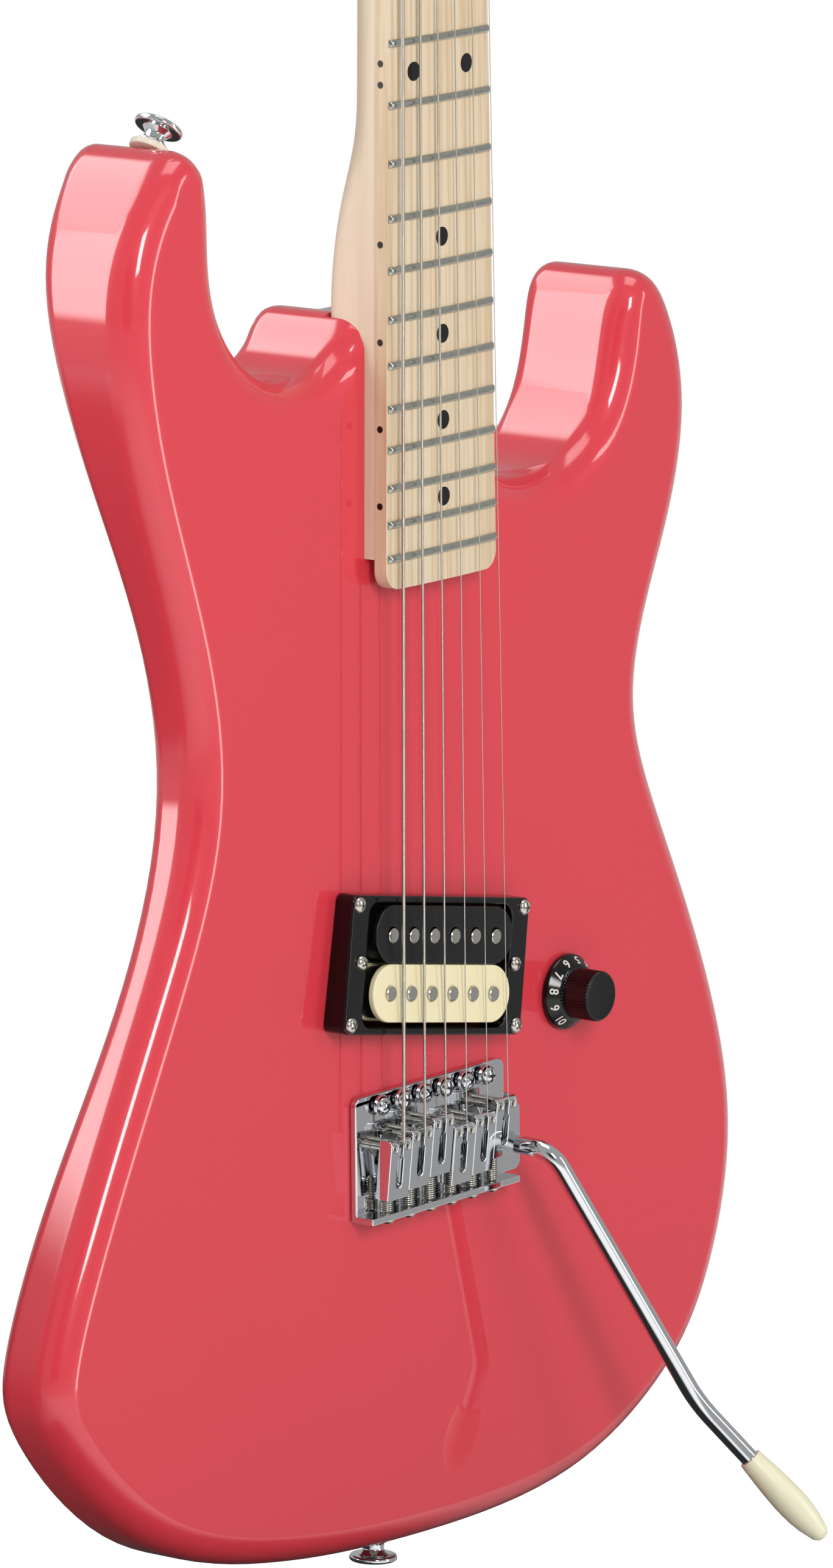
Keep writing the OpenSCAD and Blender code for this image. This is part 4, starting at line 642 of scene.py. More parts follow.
def makeBody():
    knots, steps, turns = bodyShape.outline, bodyShape.steps, bodyShape.turns
    radius, depth = guitar.edgeRadius, guitar.bodyThickness
    count = len(knots) * steps
    edge = []
    for k in range(count):
        u = k / steps
        spot, out, _ = edgeAt(u)
        near = [(u + d * bodyShape.tightStep) % len(knots) for d in (-2, -1, 0, 1, 2)]
        tight = max([0] + [edgeAt(v)[2] for v in near])
        width = radius / (1 + (radius * tight) ** 4) ** 0.25
        drop = hipAt(u)
        reach = bodyShape.hipRun * drop + bodyShape.hipRest * width
        edge.append((spot, out * width, hipWay(u) * reach, drop))
    # share of the rounded edge, depth, and shares of the contour's width and depth
    back = bodyShape.backRadius
    angles = [radians(90 * k / turns) for k in range(turns + 1)]
    rings = [(1 - cos(a), radius * (1 - sin(a)), 0, 0) for a in reversed(angles)]
    rings += [(back / radius * (1 - cos(a)), depth - back * (1 - sin(a)), 0, 1) for a in angles]
    rings += [(back / radius, depth, s, 1 - s * s * (3 - 2 * s)) for s in bodyShape.hipShares]
    points = []
    for inset, y, across, lower in rings:
        for spot, out, hip, drop in edge:
            p = spot - out * inset - hip * across
            points.append((p.x, y - drop * lower, p.y - scaleLength))
    piece = ringSkin("bodyShell", points, count)

    cuts = bodyCuts
    fit, over, end = cuts.fit, -cuts.over, heelTop + cuts.pocketRun
    low, high = neckWidth(heelZ) / 2 + fit, neckWidth(end) / 2 + fit
    pocket = [(-low, heelZ - fit), (low, heelZ - fit), (high, end), (-high, end)]
    turn = Matrix.Rotation(radians(-bodyShape.pickupTurn), 2)
    px, pz = bodyShape.pickup
    cavity = []
    for x, z in cuts.pickupHalf + [(-x, -z) for x, z in cuts.pickupHalf]:
        p = turn @ Vector((x, z))
        cavity.append((px + p.x, pz + p.y - scaleLength))
    kx, kz = bodyShape.knob
    way = Vector(bodyShape.controlEnd) - Vector((kx, kz))
    lean = atan2(way.y, way.x)
    slot = []
    for share, side in ((0, 1), (1, -1)):
        for k in range(cuts.controlSteps + 1):
            angle = lean + side * pi / 2 + pi * k / cuts.controlSteps
            x, z = kx + share * way.x, kz + share * way.y - scaleLength
            slot.append((x + cuts.controlRadius * cos(angle), z + cuts.controlRadius * sin(angle)))
    ax, az = bodyShape.arm
    spot, out, _ = edgeAt(bodyShape.jackAt)
    along = Vector((-out.y, out.x))
    jack = []
    for a, b in cuts.jackPlate:
        p = spot + along * a + out * b
        jack.append((p.x, p.y - scaleLength))
    routs = []
    rows = (("block", cuts.block, over), ("spring", cuts.spring, cuts.springFloor))
    for name, ((x0, z0), (x1, z1)), top in rows:
        routs.append(box(name + "Cut", (x0, top, z0 - scaleLength), (x1, cuts.through, z1 - scaleLength)))
    shaft = disc(kx, kz - scaleLength, cuts.shaftRadius)
    boss = disc(ax, az - cuts.armBack - scaleLength, cuts.armRadius)
    middle, half = cuts.jackMiddle, cuts.jackHalf
    cutters = [
        prism("pocketCut", pocket, over, guitar.pocketDepth + fit),
        prism("pickupCut", cavity, over, cuts.pickupDepth),
        *routs,
        prism("controlCut", slot, cuts.controlFloor, cuts.through),
        prism("shaftCut", shaft, over, cuts.controlFloor + cuts.over),
        prism("bossCut", boss, over, cuts.armDepth),
        prism("jackCut", jack, middle - half, middle + half),
    ]
    cutWith(piece, cutters)
    repaint(piece, "coral")
    smooth(piece, angle=30)
    return stand(piece, "guitar", ["body"])


makeBody()
print("body done")


# neck: the headstock's handles are two lengths and a number of steps
head = Sizes(
    thickness=14.0, angle=8.0, tunerPitch=25.0, tunerFirst=36.0, postDiameter=6.0,
    edge=11.0, wrapWall=1.3, wrapY=-7.0, seat=0.05, rounding=1.6, holeRadius=5.05,
    lowRun=14, highRun=8, tip=(21, 10), wide=(8, 29),
    handles=((9, 8, 16), (10, 8, 16), (14, 14, 16), (60, 40, 28)), over=2,
)
# cross-sections of the shaft: roundness, sinking into the head and the heel, and the fit to them
shaftShape = Sizes(
    sides=48, round=2.3, square=9, endRun=20, ringStep=2, endRings=18, headRun=14,
    headSink=0.3, headSkim=2, headFit=1.2, heelSkim=0.2, heelFit=0.02,
    plainRings=12, swoopRings=36, heelRings=6,
)
gauges = (1.17, 0.91, 0.66, 0.43, 0.33, 0.26)
headTilt = Matrix.Rotation(radians(-head.angle), 3, "X")
headStart = Vector((0, glueY, guitar.nutThickness))
tunerLean = atan(guitar.nutPitch / head.tunerPitch)


def onHead(x, y, z):
    return headStart + headTilt @ Vector((x, y, z))


def nutX(i):
    return (i - 2.5) * guitar.nutPitch


def tunerSpot(i):
    beside = head.postDiameter / 2 + head.seat + gauges[i] * head.wrapWall / 2
    return nutX(i) - beside, head.tunerFirst + i * head.tunerPitch


def ease(t):
    c = min(1.0, max(0.0, t))
    return c * c * (3 - 2 * c)


def bulge(v, n):
    return (1 if v >= 0 else -1) * abs(v) ** (2 / n)


def curveLine(a, b, c, d, n):
    line = []
    for k in range(n):
        t = (k + 1) / n
        early = (1 - t) ** 3 * Vector(a) + 3 * t * (1 - t) ** 2 * Vector(b)
        line.append(early + 3 * t * t * (1 - t) * Vector(c) + t ** 3 * Vector(d))
    return line


def makeNeck():
    swoop, heelDepth = guitar.swoop, guitar.neckStand + guitar.pocketDepth
    nutT, shape = guitar.nutThickness, shaftShape
    sides, run = shape.sides, shape.endRun
    stations = [nutT + run - k * shape.ringStep for k in range(shape.endRings)]
    plain, bent, last = shape.plainRings, shape.swoopRings, shape.heelRings
    stations += [-run + (heelTop + swoop + run) * k / plain for k in range(1, plain + 1)]
    stations += [heelTop + swoop * (1 - k / bent) for k in range(1, bent + 1)]
    stations += [heelTop + (heelZ - heelTop) * k / last for k in range(1, last + 1)]
    stations = sorted(set(stations), reverse=True)
    points = []
    for z in stations:
        toHeel = ease((heelTop + swoop - z) / swoop)
        toHead = ease((z + shape.headRun) / (nutT + run + shape.headRun))
        top = glueY
        if z > nutT:
            top += shape.headSink + (z - nutT) * tan(radians(head.angle))
        deep = guitar.shaftDepth + guitar.shaftGain * min(1, max(0, z / fretZ(12)))
        deep = deep * (1 - toHeel) + (heelDepth - shape.heelSkim) * toHeel
        deep = deep * (1 - toHead) + (head.thickness - shape.headSkim) * toHead
        half = neckWidth(min(z, 0)) / 2 - shape.heelFit * toHeel - shape.headFit * toHead
        square = shape.round + shape.square * toHeel ** 2
        for k in range(sides + 1):
            angle = pi * k / sides
            points.append((half * bulge(cos(angle), square), top + deep * bulge(sin(angle), square), z))
    shaft = ringSkin("neckShaft", points, sides + 1)
    repaint(shaft, "maple")
    smooth(shaft, angle=40)

    along, out = Vector((sin(tunerLean), cos(tunerLean))), Vector((-cos(tunerLean), sin(tunerLean)))
    first, end = Vector(tunerSpot(0)), Vector(tunerSpot(5))
    lowSide = first + out * head.edge - along * head.lowRun
    highSide = end + out * head.edge + along * head.highRun
    tip = end + along * head.tip[0] - out * head.tip[1]
    wide = end - along * head.wide[0] - out * head.wide[1]
    left, right = Vector((-guitar.nutWidth / 2, 0)), Vector((guitar.nutWidth / 2, 0))
    up, (a, b, c, d) = Vector((0, 1)), head.handles
    plan = [left] + curveLine(left, left + up * a[0], lowSide - along * a[1], lowSide, a[2]) + [highSide]
    plan += curveLine(highSide, highSide + along * b[0], tip + out * b[1], tip, b[2])
    plan += curveLine(tip, tip - out * c[0], wide + along * c[1], wide, c[2])
    plan += curveLine(wide, wide - along * d[0], right + up * d[1], right, d[2])
    blade = prism("headBlade", [(p.x, p.y) for p in plan], 0, head.thickness)
    rounded(blade, head.rounding, segments=4)
    holes = []
    for i in range(6):
        hole = disc(*tunerSpot(i), head.holeRadius)
        holes.append(prism("postHole%d" % i, hole, -head.over, head.thickness + head.over))
    cutWith(blade, holes)
    blade.data.transform(Matrix.Translation(headStart / 1000) @ headTilt.to_4x4())
    smooth(blade)
    repaint(blade, "maple")
    for part in (shaft, blade):
        stand(part, "guitar", ["neck"])


def rounded(piece, width, segments):
    addBevel(piece, width, segments, angle=35)
    settle(piece)
    return smooth(piece)


# fingerboard with its round front, rolled edges and soft end corners
board = Sizes(
    corner=6.0, cornerSteps=12, rolled=0.4, proud=1, domeOver=5, domeSides=1440,
    lift=0.03, sideLift=0.22, sideFrom=-19.0,
)


def makeBoard():
    end, corner = fretZ(guitar.frets) - guitar.boardOver, board.corner
    low, high = neckWidth(end + corner) / 2, guitar.nutWidth / 2
    outline = [(-high, 0), (high, 0)]
    for side, start in ((1, 0), (-1, 270)):
        for k in range(board.cornerSteps + 1):
            turn = radians(start - 90 * k / board.cornerSteps)
            outline.append((side * (low - corner) + corner * cos(turn), end + corner + corner * sin(turn)))
    piece = prism("boardPiece", outline, boardY - board.proud, glueY)
    radius, over = guitar.boardRadius, board.domeOver
    dome = turned("boardDome", [(radius, end - over), (radius, over)], board.domeSides)
    dome.data.transform(Matrix.Translation((0, (boardY + radius) / 1000, 0)))
    cutWith(piece, [dome], "INTERSECT")
    rounded(piece, board.rolled, segments=3)
    repaint(piece, "board")
    stand(piece, "guitar", ["fingerboard"])


# inlaid dots, a hair proud of the wood
def makeDots():
    piece = dress("position_dots", "blackSatin", width=0)
    for vert in piece.data.vertices:
        if vert.co.x > board.sideFrom / 1000:
            vert.co.y -= board.lift / 1000
        else:
            vert.co.x -= board.sideLift / 1000


makeNeck()
makeBoard()
makeDots()
dress("nut", "bone", width=0.25)
print("neck done")


# frets
fretShape = Sizes(
    height=1.1, crown=2.5, modelWidth=48.0, inset=0.4, bevel=0.55, sections=24,
    filedEnd=0.18, profileSteps=10, fullness=0.8, endRange=0.01,
)


def makeFrets():
    half, radius = fretShape.modelWidth / 2, guitar.boardRadius
    profile = []
    for k in range(fretShape.profileSteps + 1):
        angle = pi * k / fretShape.profileSteps
        rise = fretShape.height * sin(angle) ** fretShape.fullness
        profile.append((fretShape.crown / 2 * cos(angle), rise))
    profile[0], profile[-1] = (fretShape.crown / 2, 0.0), (-fretShape.crown / 2, 0.0)
    points = []
    for k in range(fretShape.sections + 1):
        x = -half + 2 * half * k / fretShape.sections
        for across, up in profile:
            # the ends lean in towards the crown
            lean = 1 - fretShape.bevel * up / half
            px = x * lean if abs(x) > half - fretShape.endRange else x
            level = boardY + radius - (radius ** 2 - px ** 2) ** 0.5
            points.append((px, level - up, across))
    model = ringSkin("fretModel", points, len(profile))
    addBevel(model, fretShape.filedEnd, segments=2, angle=45)
    settle(model)
    row = addObject("fretRow", bpy.data.meshes.new("fretRow"))
    runTree(row, fretTree, {
        "Count": guitar.frets, "Scale Length": scaleLength / 1000,
        "Nut Width": (guitar.nutWidth - 2 * fretShape.inset) / 1000,
        "Width Gain": (guitar.heelWidth - guitar.nutWidth) / -heelZ,
        "Model Width": fretShape.modelWidth / 1000, "Fret": model, "Material": finishes["fretWire"],
    })
    bpy.data.objects.remove(model)
    smooth(row, angle=38, weighted=False)
    return stand(row, "guitar", ["frets"])


makeFrets()
print("frets done")

# pieces taken over from the CAD model with broken edges: finish, edge width in mm, segments
takenOver = {
    "pickup_ring": ("black", 0.7, 3), "slug_bobbin": ("blackSatin", 0.45, 2),
    "screw_bobbin": ("cream", 0.45, 2), "bridge_plate": ("chrome", 0.45, 3),
    "bridge_block": ("steel", 0.5, 2), "saddles": ("chrome", 0.32, 2),
    "saddle_height_screws": ("nickel", 0.16, 2), "block_screws": ("steel", 0.15, 1),
    "panel_nuts": ("chrome", 0.25, 2), "volume_pot": ("steel", 0.2, 1), "neck_plate": ("chrome", 0.6, 3),
    "control_cover": ("blackSatin", 0.4, 2), "spring_cover": ("blackSatin", 0.4, 2),
    "jack_plate": ("chrome", 0.5, 3), "output_jack": ("nickel", 0.3, 2), "strap_buttons": ("chrome", 0.25, 3),
    "strap_felts": ("felt", 0.5, 3), "spring_claw": ("steel", 0.25, 2), "tuner_housings": ("chrome", 0.6, 3),
    "tuner_bushings": ("chrome", 0.3, 2), "arm_tip": ("ivory", 0, 1),
}
for number in range(1, 7):
    takenOver["tuner_key_%d" % number] = ("chrome", 0.9, 3)
    takenOver["tuner_post_%d" % number] = ("chrome", 0.35, 2)
for node, (finish, width, segments) in takenOver.items():
    dress(node, finish, width, segments)
print("taken over:", len(takenOver))

# screws: places are read off the CAD nodes, and one turned model goes on each of them
screwKinds = {
    "wood_screws": {"head": 1.7, "shank": 2.6, "recess": "cross", "finish": "nickel"},
    "pickup_height_screws": {"head": 2.0, "shank": 2.8, "recess": "cross", "finish": "nickel"},
    "pivot_screws": {"head": 3.3, "shank": 3.4, "collar": 0.9, "recess": "cross", "finish": "chrome"},
    "intonation_screws": {"head": 2.0, "shank": 2.6, "recess": "cross", "finish": "nickel"},
    "neck_screws": {"head": 2.6, "shank": 4.2, "recess": "cross", "finish": "chrome"},
    "claw_screws": {"head": 2.6, "shank": 3.8, "recess": "cross", "finish": "steel"},
    "strap_screws": {"head": 1.4, "shank": 4.0, "recess": "cross", "finish": "nickel"},
    "pole_pieces": {"head": 1.15, "shank": 3.0, "recess": "slot", "finish": "nickel", "slug": 4.8},
}
# thread: pitch, depth, and places of its rise and crest
thread = Sizes(pitch=0.8, depth=0.22, rise=0.2, crest=(0.4, 0.55))
# recess: half width of a slot, shares of the head's diameter for a cross, share of the head's height
recess = Sizes(slotHalf=0.4, crossReach=0.3, crossHalf=0.065, depth=0.55)
# reading a screw off its solid: rounds, bands at its ends, straightness, and what tells a head or a slug
screwFit = Sizes(rounds=5, endBand=1.5, headBand=2.2, straight=0.998, headOver=0.1, slugUnder=0.5)
# turned form of a screw, and the turn of the first and of each next one
screwForm = Sizes(
    point=0.2, taper=0.8, edge=0.1, collar=0.15, tallCollar=0.5, domeIn=0.25,
    domeSteps=9, middle=0.05, sides=28, softEdge=0.06, firstTurn=0.5, nextTurn=2.4,
)
slugForm = Sizes(edge=0.2, rings=11, ringDepth=0.018, sides=40)


# loose solids of a node, as arrays of points in mm
def solidsOf(node):
    work = bmesh.new()
    work.from_mesh(nodes[node].data)
    bmesh.ops.remove_doubles(work, verts=work.verts, dist=cadGap)
    seen, groups = set(), []
    for start in work.verts:
        if start in seen:
            continue
        group, queue = [], [start]
        seen.add(start)
        while queue:
            vert = queue.pop()
            group.append(tuple(vert.co * 1000))
            for edge in vert.link_edges:
                other = edge.other_vert(vert)
                if other not in seen:
                    seen.add(other)
                    queue.append(other)
        groups.append(np.array(group))
    work.free()
    return groups


def middleAcross(points, axis):
    side = np.cross(axis, (0.31, 0.74, 0.59))
    side /= np.linalg.norm(side)
    rise = np.cross(axis, side)
    a, b = points @ side, points @ rise
    return side * (a.min() + a.max()) / 2 + rise * (b.min() + b.max()) / 2


# top of the head, direction out of the head, and sizes of each screw in a node
def screwPlaces(node):
    places = []
    endBand, headBand, straight = screwFit.endBand, screwFit.headBand, screwFit.straight
    over = screwFit.headOver
    for points in solidsOf(node):
        middle = points.mean(axis=0)
        axis = np.linalg.svd(points - middle)[2][0]
        for _ in range(screwFit.rounds):
            along = points @ axis
            low, high = points[along < along.min() + endBand], points[along > along.max() - endBand]
            upper, lower = middleAcross(high, axis), middleAcross(low, axis)
            axis = upper - lower + axis * (along.max() - along.min())
            axis /= np.linalg.norm(axis)
        if abs(axis).max() > straight:
            axis = np.where(abs(axis) > straight, np.sign(axis), 0.0)
        along = points @ axis
        across = np.linalg.norm(points - middleAcross(points, axis) - np.outer(along, axis), axis=1)
        foot = across[along < along.min() + headBand].max()
        crown = across[along > along.max() - headBand].max()
        # the wide end is the head; an even slug has its top at the front
        if foot > crown + over or (abs(foot - crown) < over and axis[1] > 0.5):
            axis, along, foot, crown = -axis, -along, crown, foot
        top = middleAcross(points, axis) + axis * along.max()
        length = along.max() - along.min()
        places.append({"top": top, "axis": axis, "length": length, "head": 2 * crown, "foot": 2 * foot})
    return places


def screwModel(name, kind, head, length):
    form, height, core = screwForm, kind["head"], kind["shank"] / 2
    collar = kind.get("collar", form.collar)
    profile = [(form.point, -length), (core * form.taper, -length + core)]
    turns = int((length - height - core) / thread.pitch)
    for k in range(turns):
        z = -length + core + thread.pitch * k
        profile.append((core - thread.depth, z + thread.rise))
        profile += [(core, z + crest) for crest in thread.crest]
    rim, edge = head / 2, form.edge
    profile += [(core, -height), (rim - edge, -height), (rim, -height + edge), (rim, -height + collar)]
    dome = height - collar
    # a head with a tall collar has its dome set in
    wide = rim - (form.domeIn if collar > form.tallCollar else 0)
    for k in range(form.domeSteps):
        turn = pi / 2 * k / form.domeSteps
        profile.append((wide * cos(turn), -dome + dome * sin(turn)))
    profile.append((form.middle, 0))
    model = turned(name, profile, form.sides)
    reach, half = head, recess.slotHalf
    if kind["recess"] == "cross":
        reach, half = head * recess.crossReach, head * recess.crossHalf
    deep = height * recess.depth
    cutters = [box(name + "Slot", (-reach, -half, -deep), (reach, half, 1))]
    if kind["recess"] == "cross":
        cutters.append(box(name + "Cross", (-half, -reach, -deep), (half, reach, 1)))
    cutWith(model, cutters)
    addBevel(model, form.softEdge, segments=1, angle=40)
    return settle(model)


# pole slug with the fine rings of a turned end
def slugModel(diameter, length):
    radius, edge, rings = diameter / 2, slugForm.edge, slugForm.rings
    profile = [(radius, -length), (radius, -edge), (radius - edge, 0)]
    for k in range(1, rings):
        profile.append(((radius - edge) * (1 - k / rings), -slugForm.ringDepth if k % 2 else 0))
    return turned("slugModel", profile, slugForm.sides)


def makeScrews():
    total = 0
    for node, kind in screwKinds.items():
        places = screwPlaces(node)
        limit = kind["slug"] - screwFit.slugUnder if "slug" in kind else float("inf")
        thin = [p for p in places if p["foot"] < limit]
        thick = [p for p in places if p["foot"] >= limit]
        rows = {"": thin, "Slug": thick}
        for suffix, row in rows.items():
            if not row:
                continue
            first = row[0]
            if suffix:
                model = slugModel(kind["slug"], first["length"])
            else:
                model = screwModel(node + "Model", kind, first["head"], first["length"])
            turns = [screwForm.firstTurn + screwForm.nextTurn * k for k in range(len(row))]
            spots = [(tuple(p["top"]), tuple(p["axis"]), turn) for p, turn in zip(row, turns)]
            piece = fasteners(node + suffix + "Row", model, spots, kind["finish"])
            bpy.data.objects.remove(model)
            stand(piece, bodyOf[node], [node])
            total += len(row)
    return total


print("screws set:", makeScrews())

# hidden inner pieces keep their solids and get a finish
inner = {
    "truss_rod": "steel", "pickup_baseplate": "nickel", "pickup_magnet": "steel",
    "pickup_coils": "tape", "pot_shaft": "steel", "wiring": "black",
}
for node, finish in inner.items():
    repaint(nodes[node], finish)

# vibrato arm
arm = Sizes(
    rod=6.0, rise=22.4, slope=11.8, run=105.0, tipSlope=32.0, tipRun=61.3,
    tipLength=36.0, tipIn=20.0, turn=28.7, bend=9.0, knee=40.0, foot=11.0,
    bendSteps=14, straightSteps=8, kneeSteps=10, sides=32,
)


def armPoint(s, h):
    ax, az = bodyShape.arm
    turn = radians(arm.turn)
    return ax + s * sin(turn), -h, az - s * cos(turn) - scaleLength


def arc(center, radius, start, end, steps):
    angles = [radians(start + (end - start) * k / steps) for k in range(steps + 1)]
    return [(center[0] + radius * cos(a), center[1] + radius * sin(a)) for a in angles]


def makeArm():
    a, b = radians(arm.slope), radians(arm.tipSlope)
    cut = arm.bend * tan((pi / 2 - a) / 2)
    line = [(0, -arm.foot), (0, 0)]
    line += arc((arm.bend, arm.rise - cut), arm.bend, 180, 90 + arm.slope, arm.bendSteps)
    knee = (arm.run * cos(a), arm.rise + arm.run * sin(a))
    back = arm.knee * tan((b - a) / 2)
    start = (knee[0] - back * cos(a), knee[1] - back * sin(a))
    center = (start[0] - arm.knee * sin(a), start[1] + arm.knee * cos(a))
    x, y = line[-1]
    shares = [k / arm.straightSteps for k in range(1, arm.straightSteps)]
    line += [(start[0] * t + x * (1 - t), start[1] * t + y * (1 - t)) for t in shares]
    line += arc(center, arm.knee, arm.slope - 90, arm.tipSlope - 90, arm.kneeSteps)
    end = arm.tipRun - arm.tipLength + arm.tipIn
    line.append((knee[0] + end * cos(b), knee[1] + end * sin(b)))
    path = [armPoint(s, h) for s, h in line]
    rod = bars("armRod", [path], arm.rod / 2, "chrome", arm.sides)
    return stand(rod, "arm", ["vibrato_arm"])


makeArm()
print("arm done")

# strings
strings = Sizes(
    saddleBack=(4.3, 2.4, 0.4, 5.2, 3.7, 0.5), holeBack=11.2, plateY=-2.55, ballY=21.65,
    turns=3, tilt=8.0, pivot=(-0.25, 10.3), holeDeep=1.4, sides=12,
    wrapSides=10, wrapSteps=24, wrapGap=0.06, wrapPitch=1.02,
)


def makeStrings():
    nutY = boardY - guitar.nutAction
    sides, steps = strings.sides, strings.wrapSteps
    for i in range(6):
        finish, node = ("wound", "wound_strings") if i < 3 else ("nickel", "plain_strings")
        radius = gauges[i] / 2
        x, back = (i - 2.5) * guitar.stringPitch, strings.saddleBack[i]
        saddle = (x, -guitar.stringHeight, -back - scaleLength)
        hole = (x, strings.plateY + strings.holeDeep, -strings.holeBack - scaleLength)
        ball = (x, strings.ballY, -strings.holeBack - scaleLength)
        long = bars("string%dLong" % (i + 1), [[saddle, (nutX(i), nutY, 0)]], radius, finish, sides)
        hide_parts(node)
        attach(long, "guitar")
        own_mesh(long)
        tail = bars("string%dTail" % (i + 1), [[saddle, hole, ball]], radius, finish, sides)
        stand(tail, "bridge", [node])
        tx, tz = tunerSpot(i)
        post = onHead(nutX(i), head.wrapY, tz)
        line = [(nutX(i), nutY, 0), (nutX(i), nutY, guitar.nutThickness), tuple(post)]
        stand(bars("string%dHead" % (i + 1), [line], radius, finish, sides), "guitar", [node])
        reel = head.postDiameter / 2 + radius + strings.wrapGap
        coil = []
        for k in range(steps * strings.turns + 1):
            angle = 2 * pi * k / steps
            depth = head.wrapY + gauges[i] * strings.wrapPitch * k / steps
            coil.append(tuple(onHead(tx + reel * cos(angle), depth, tz + reel * sin(angle))))
        wrap = bars("string%dWrap" % (i + 1), [coil], radius, finish, strings.wrapSides)
        stand(wrap, "post_%d" % (i + 1), [node])


makeStrings()
print("strings done")

# coil springs
springs = {
    "bridge": Sizes(
        x=(-17, 0, 17), y=33.0, first=4.0, last=72.0, outer=9.0, wireSize=1.3, turns=40,
        hook=(-8, 2, 3.2), tail=(75, 83.9), clawEnd=80, blockEnd=-4,
    ),
    "height": Sizes(outer=5.2, wireSize=0.6, turns=6, at=(39.9, 0.8), rest=0.4),
    "intonation": Sizes(
        outer=4.4, wireSize=0.55, turns=7, y=-5.65, wall=-27.3, rest=0.3, seat=0.8,
        saddle=(19.6, 5), slope=6, space=0.1, leastTurns=3, usual=5,
    ),
}


def coilPath(center, axisFrom, axisTo, radius, turns, place, perTurn=14):
    path = []
    for k in range(int(turns * perTurn) + 1):
        angle = 2 * pi * k / perTurn
        along = axisFrom + (axisTo - axisFrom) * k / (turns * perTurn)
        path.append(place(center[0] + radius * cos(angle), center[1] + radius * sin(angle), along))
    return path


# coil along the strings, and coil through the body
def lengthwise(a, b, c):
    return a, b, c - scaleLength


def through(a, b, c):
    return a, c, b


def makeSprings():
    shape = springs["bridge"]
    radius, y = (shape.outer - shape.wireSize) / 2, shape.y
    paths = []
    for x in shape.x:
        coil = coilPath((x, y), shape.first, shape.last, radius, shape.turns, lengthwise, 12)
        end, neck, bend = shape.hook
        hook = [lengthwise(x, y, end), lengthwise(x, y, neck), lengthwise(x + radius, y, bend)]
        paths.append(hook + coil + [lengthwise(x, y, z) for z in shape.tail])
    piece = bars("bridgeSpringCoils", paths, shape.wireSize / 2, "steel", sides=8)
    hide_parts("bridge_springs")
    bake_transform(piece)

    low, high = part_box("pickup_height_springs")
    shape = springs["height"]
    radius = (shape.outer - shape.wireSize) / 2
    turn = Matrix.Rotation(radians(-bodyShape.pickupTurn), 2)
    paths = []
    for side in (-1, 1):
        p = turn @ Vector((side * shape.at[0], shape.at[1]))
        center = (bodyShape.pickup[0] + p.x, bodyShape.pickup[1] + p.y - scaleLength)
        front, back = low.y * 1000 + shape.rest, high.y * 1000 - shape.rest
        paths.append(coilPath(center, front, back, radius, shape.turns, through))
    coils = bars("heightSpringCoils", paths, shape.wireSize / 2, "steel", sides=8)
    stand(coils, "guitar", ["pickup_height_springs"])

    shape = springs["intonation"]
    radius = (shape.outer - shape.wireSize) / 2
    paths = []
    slope, wall, (long, tall) = radians(shape.slope), shape.wall, shape.saddle
    for i in range(6):
        center = ((i - 2.5) * guitar.stringPitch, shape.y)
        stop = -strings.saddleBack[i] + shape.seat - shape.space
        stop -= long * cos(slope) + tall * sin(slope)
        turns = max(shape.leastTurns, shape.turns * (stop - wall) / shape.usual)
        paths.append(coilPath(center, wall, stop - shape.rest, radius, turns, lengthwise))
    coils = bars("intonationSpringCoils", paths, shape.wireSize / 2, "nickel", sides=8)
    stand(coils, "bridge", ["intonation_springs"])


makeSprings()
print("springs done")

# volume knob with its numbers
knob = Sizes(
    skirt=12.3, grip=8.2, gap=0.8, lip=2.2, shoulder=5.4, top=15.3,
    hollow=8.27, hollowTop=3.4, bore=3.05, boreTop=12.5, flutes=48, fluteDepth=0.3,
    numberSize=4.1, numberAt=10.65, firstNumber=-41.0, numberStep=30.0,
    numberDepth=0.03, numberWeight=0.06, numberLift=0.02, fluteSteps=6,
)


